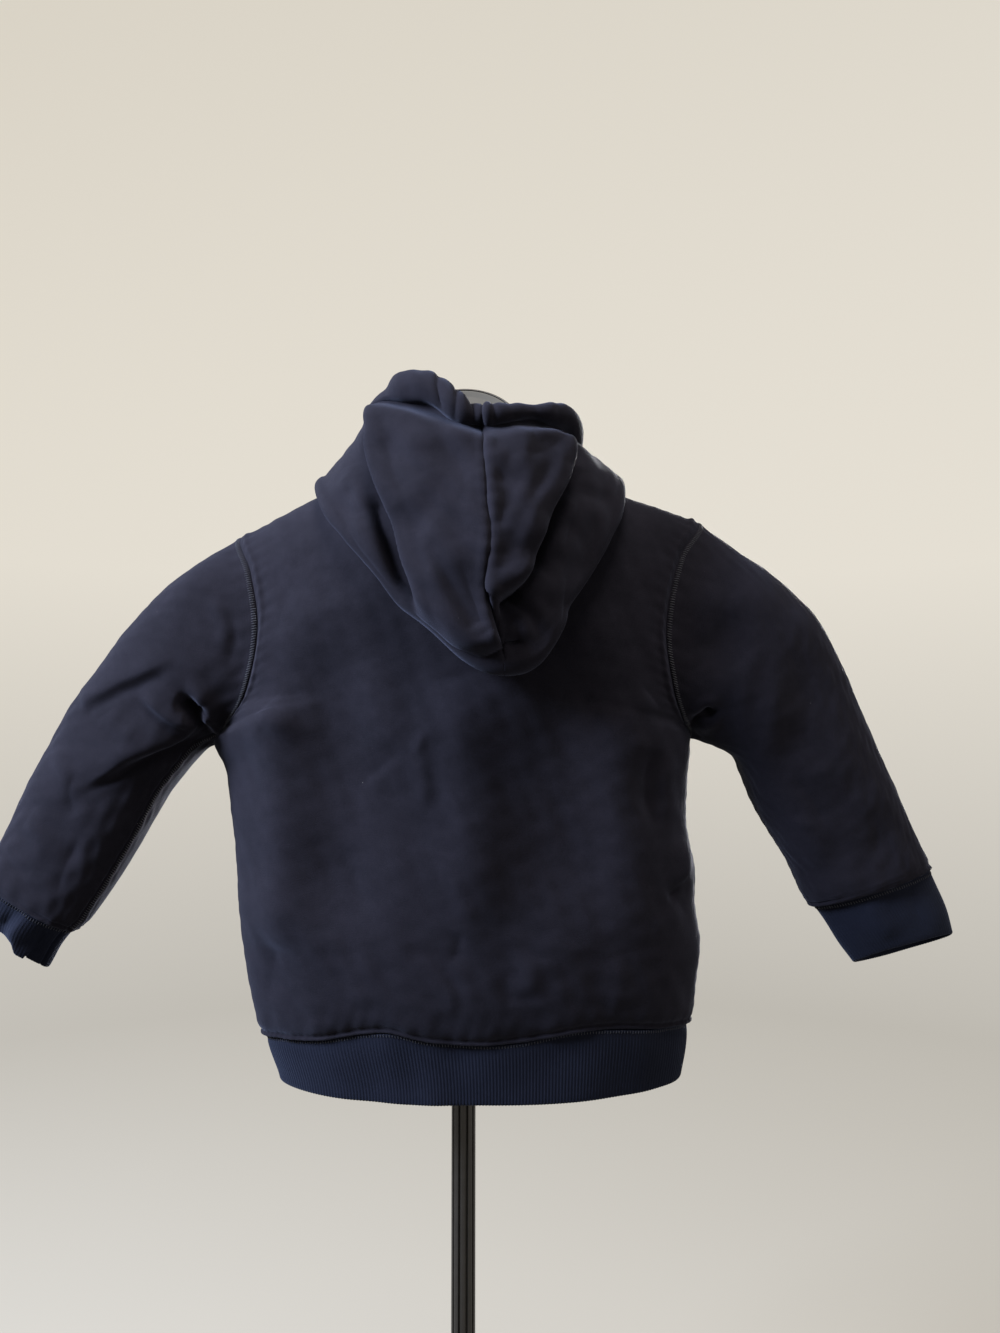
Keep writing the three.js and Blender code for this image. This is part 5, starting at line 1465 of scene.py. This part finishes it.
# The dress form: rounded sections, sloping shoulders and a neck that bends back to a round cap.
formRows = [(24, 96, 36, 37), (60, 101, 42, 44), (110, 99, 44, 48), (160, 97, 44, 47), (220, 104, 46, 46),
            (280, 112, 47, 44), (320, 116, 43, 38), (345, 114, 36, 32)]
yokeRows = [(108, 34, 32, 5, 7), (94, 38, 38, 7, 12), (76, 41, 42, 10, 26), (56, 43, 42, 13, 47)]
neckSize = {"radius": 38, "pivotOut": 39.5, "pivotHeight": 383.5, "tilt": 60, "flare": 14}
capThick, capRim = 3.0, 1.2
formSides = 128


# The highest that the form may be under the lower shoulder, this far out.
def shoulderUnder(reach):
    outs, tops = np.array(list(shoulderAt.values())).T
    share = np.clip((reach - neckReach) / (outs - neckReach), 0, 1)
    inward = math.sqrt(max(0.0, 1 - (reach / neckReach) ** 2))
    tops = neckHeight - neckEdge["back"][1] * inward**2 + (tops - neckHeight) * share
    return tops.min() - fleeceThick - 1


def formRing(height, half, back, front, sinkBack=0.0, sinkFront=0.0):
    turn = np.arange(formSides) * 2 * math.pi / formSides
    c, s = np.cos(turn), np.sin(turn)
    rounded = [np.sign(v) * np.abs(v) ** (2 / 2.2) for v in (c, s)]
    depth = np.where(c > 0, back, front) * rounded[0]
    sink = np.where(c > 0, sinkBack, sinkFront) * np.abs(c) ** 1.5
    return np.stack([half * rounded[1], depth, height - sink], -1)


def neckRing(degrees):
    turn = np.arange(formSides) * 2 * math.pi / formSides
    tilt = math.radians(degrees)
    flare = neckSize["flare"] * max(0.0, 1 - degrees / 34) ** 2
    radius = neckSize["radius"] + flare * (1 - np.cos(turn)) / 2
    fromPivot = neckSize["pivotOut"] - radius * np.cos(turn)
    return np.stack([radius * np.sin(turn), neckSize["pivotOut"] - fromPivot * math.cos(tilt),
                     neckSize["pivotHeight"] + fromPivot * math.sin(tilt)], -1)


poleRadius, poleSlack, poleInto = 7.8, 0.4, 40


def makeForm():
    rings = [formRing(*row) for row in formRows]
    rings += [formRing(shoulderUnder(half), half, *rest) for half, *rest in yokeRows]
    rings += [neckRing(degrees) for degrees in (10, 20, 33, 47, 60)]
    rings = np.array(rings)
    knots = runLength(rings).mean(1)
    at = np.concatenate([np.linspace(a, b, 7)[:-1] for a, b in zip(knots[:-1], knots[1:])] + [knots[-1:]])
    smooth = spline(knots, rings, at, openEnds=True)
    turn = np.arange(formSides) * 2 * math.pi / formSides
    bore = (poleRadius + poleSlack) * np.stack([np.sin(turn), np.cos(turn)], -1)
    foot = formRows[0][0]
    lip = rings[0] * np.array([0.97, 0.95, 1]) - np.array([0, 0, 1.4])
    mouth = np.concatenate([bore * 1.15, np.full((formSides, 1), foot - 1.4)], 1)
    inside = np.concatenate([bore, np.full((formSides, 1), foot + 2.0)], 1)
    deep = np.concatenate([bore, np.full((formSides, 1), foot + poleInto)], 1)
    middle = mix(lip, mouth, 0.5)
    end = smooth[-1].mean(0)
    closing = [mix(smooth[-1], end, share) for share in (0.04, 0.5, 0.98)]
    grid = np.concatenate([[deep, inside, mouth, middle, lip], smooth, closing])
    piece = meshObject("dress_form_skin", world(grid), quadsOf(len(grid), formSides, wrap=True)[..., ::-1])
    finishPiece(piece, formSkin)
    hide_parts("dress_form")
    return piece


def latheObject(name, profile, material, sides=128, place=None, radii=None):
    profile = np.array(profile, float)
    turn = np.arange(sides) * 2 * math.pi / sides
    scale = np.ones(sides) if radii is None else radii
    ring = np.stack([np.cos(turn) * scale, np.sin(turn) * scale], -1)
    points = np.concatenate([profile[:, None, :1] * ring[None], np.broadcast_to(
        profile[:, None, 1:], (len(profile), sides, 1))], -1)
    piece = meshObject(name, points * mm, quadsOf(len(profile), sides, wrap=True))
    if place is not None:
        piece.data.transform(place)
    return finishPiece(piece, material)


def roundedLine(corners, radius=0.4, steps=4):
    corners = [np.array(c, float) for c in corners]
    line = [corners[0]]
    for a, b, c in zip(corners, corners[1:], corners[2:]):
        cut = min(radius, np.linalg.norm(b - a) / 2.1, np.linalg.norm(c - b) / 2.1)
        start, end = b + unit(a - b) * cut, b + unit(c - b) * cut
        for t in np.linspace(0, 1, steps):
            line.append((1 - t) ** 2 * start + 2 * t * (1 - t) * b + t**2 * end)
    return np.array(line + [corners[-1]])


def capPlace():
    tilt = math.radians(neckSize["tilt"])
    out = neckSize["pivotOut"] * (1 - math.cos(tilt))
    up = hemAbove + neckSize["pivotHeight"] + neckSize["pivotOut"] * math.sin(tilt)
    return (Matrix.Translation(Vector((0, out, up)) * mm) @ Matrix.Rotation(-tilt, 4, "X")
            @ Matrix.Translation(Vector((0, 0, seamGap)) * mm))


def makeCap():
    r = neckSize["radius"]
    inner = r - capRim - 0.3
    disc = [(0.02, 0), (inner, 0), (inner, capThick), (inner - 1.2, capThick + 0.1),
            (inner - 5, capThick - 0.9), (0.02, capThick - 0.9)]
    rim = [(r - capRim, 0), (r, 0), (r, capThick + 0.2), (r - capRim, capThick + 0.2), (r - capRim, 0)]
    place = capPlace()
    cap = latheObject("neck_cap_disc", roundedLine(disc, 0.5), capPlastic, place=place)
    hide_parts("neck_cap")
    edge = latheObject("neck_cap_rim", roundedLine(rim, 0.35), standMetal, place=place)
    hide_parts("neck_rim")


def makeStand():
    base = {"radius": 140, "edge": 4.5, "thick": 6.5, "collar": 15, "collarTop": 38}
    socket = poleRadius + poleSlack
    plate = [(0.02, 0), (base["radius"], 0), (base["radius"], base["edge"]),
             (base["radius"] - 3, base["thick"]), (base["collar"] + 6, base["thick"] + 1),
             (base["collar"], base["thick"] + 6), (base["collar"] - 1.5, base["collarTop"]),
             (socket, base["collarTop"]), (socket, base["thick"]), (0.02, base["thick"])]
    foot = latheObject("stand_base_plate", roundedLine(plate, 1.2, 5), standMetal)
    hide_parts("stand_base")
    sides, flutes, groove = 240, 10, 1.5
    turn = np.arange(sides) * flutes / sides
    fromGroove = np.abs(turn - np.round(turn))
    radii = 1 - groove / poleRadius * (1 - ease((fromGroove - 0.07) / 0.09))
    radii -= 0.02 * (1 - ease((fromGroove - 0.16) / 0.14))
    top = hemAbove + formRows[0][0] + poleInto - 0.3
    line = [(0.02, base["thick"] + 0.3), (poleRadius, base["thick"] + 0.3), (poleRadius, 40),
            (poleRadius, top), (0.02, top)]
    pole = latheObject("stand_pole_fluted", line, standMetal, sides=sides, radii=radii)
    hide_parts("stand_pole")
    pole.data.set_sharp_from_angle(angle=math.radians(50))


formPiece = makeForm()
makeCap()
makeStand()
print("form and stand made")


# Floor and backdrop: one pale bowl, open at the top, that glows as painted light, dimmer at the floor and
# brighter up the wall; and soft lights.
wallGlow = 1.0


def wallMaterial():
    material, tree, shader = newMaterial("paleWall", 0.9, Specular_IOR_Level=0.0, Emission_Strength=wallGlow)
    place = ownPlace(tree)
    colour = colourBetween(tree, (0.200, 0.186, 0.160), (0.206, 0.192, 0.166), noise(tree, place, 1.2, 3.0))
    tree.links.new(colour, shader.inputs["Base Color"])
    # Painted light: the bowl's glow grows from the floor up to 1.1 m, dimmer low and brighter high.
    height = addNode(tree, "ShaderNodeSeparateXYZ", {"Vector": place}).outputs["Z"]
    glow = colourBetween(tree, (0.415, 0.392, 0.345), (0.660, 0.616, 0.532), scaled(tree, height, 0.0, 1.1))
    tree.links.new(glow, shader.inputs["Emission Color"])
    material.cycles.emission_sampling = "NONE"
    return material


def makeStage():
    floorEnd, wallAt, cove, wallTop = 1.75, 2.5, 0.75, 5.5
    turns = np.linspace(0, math.pi / 2, 14)
    bend = [(floorEnd + cove * math.sin(turn), cove - cove * math.cos(turn)) for turn in turns]
    line = np.array([(0.001, 0.0), (0.6, 0.0), (1.2, 0.0), *bend, (wallAt, 2.0), (wallAt, wallTop)])
    sides = 96
    turn = np.arange(sides) * 2 * math.pi / sides
    points = np.stack([line[:, :1] * np.cos(turn), line[:, :1] * np.sin(turn),
                       np.broadcast_to(line[:, 1:], (len(line), sides))], -1)
    bowl = meshObject("floor_and_backdrop", points, quadsOf(len(line), sides, wrap=True)[..., ::-1])
    bowl.data.materials.append(wallMaterial())
    bowl.visible_shadow = False
    bowl.visible_diffuse = False


def addArea(name, place, aim, size, watts, colour, spread=180):
    data = bpy.data.lights.new(name, "AREA")
    data.shape = "DISK"
    data.size = size
    data.energy = watts
    data.color = colour
    data.spread = math.radians(spread)
    light = bpy.data.objects.new(name, data)
    scene.collection.objects.link(light)
    light.location = place
    light.rotation_euler = (Vector(aim) - Vector(place)).to_track_quat("-Z", "Y").to_euler()
    light.visible_camera = False


def lightScene():
    world = bpy.data.worlds.new("softRoom")
    world.use_nodes = True
    back = world.node_tree.nodes["Background"]
    back.inputs["Color"].default_value = (1.0, 0.975, 0.93, 1)
    back.inputs["Strength"].default_value = 0.085
    scene.world = world
    scene.view_settings.view_transform = "Standard"
    aim = (0, 0, 0.65)
    addArea("window_side", (1.30, 0.58, 1.42), aim, 0.6, 80.0, (0.79, 0.90, 1.13))
    addArea("ceiling", (-0.1, 0.50, 2.2), aim, 0.6, 20.0, (1.0, 0.94, 0.90))
    addArea("wall_bounce", (-1.5, 0.7, 0.55), aim, 1.0, 6.0, (1.0, 0.95, 0.92))
    addArea("front_fill", (-0.7, -1.5, 1.05), (0, 0, 0.70), 1.0, 7.0, (1.0, 0.97, 0.94), spread=38)


def placeCamera():
    data = bpy.data.cameras.new("viewpoint")
    data.lens = 27
    data.sensor_width = 36
    data.clip_start = 0.02
    data.dof.use_dof = False
    camera = bpy.data.objects.new("viewpoint", data)
    scene.collection.objects.link(camera)
    camera.location = (-0.0235, 0.660, 0.6624)
    camera.rotation_euler = (math.radians(93), 0, math.radians(180))
    scene.camera = camera


makeStage()
lightScene()
placeCamera()
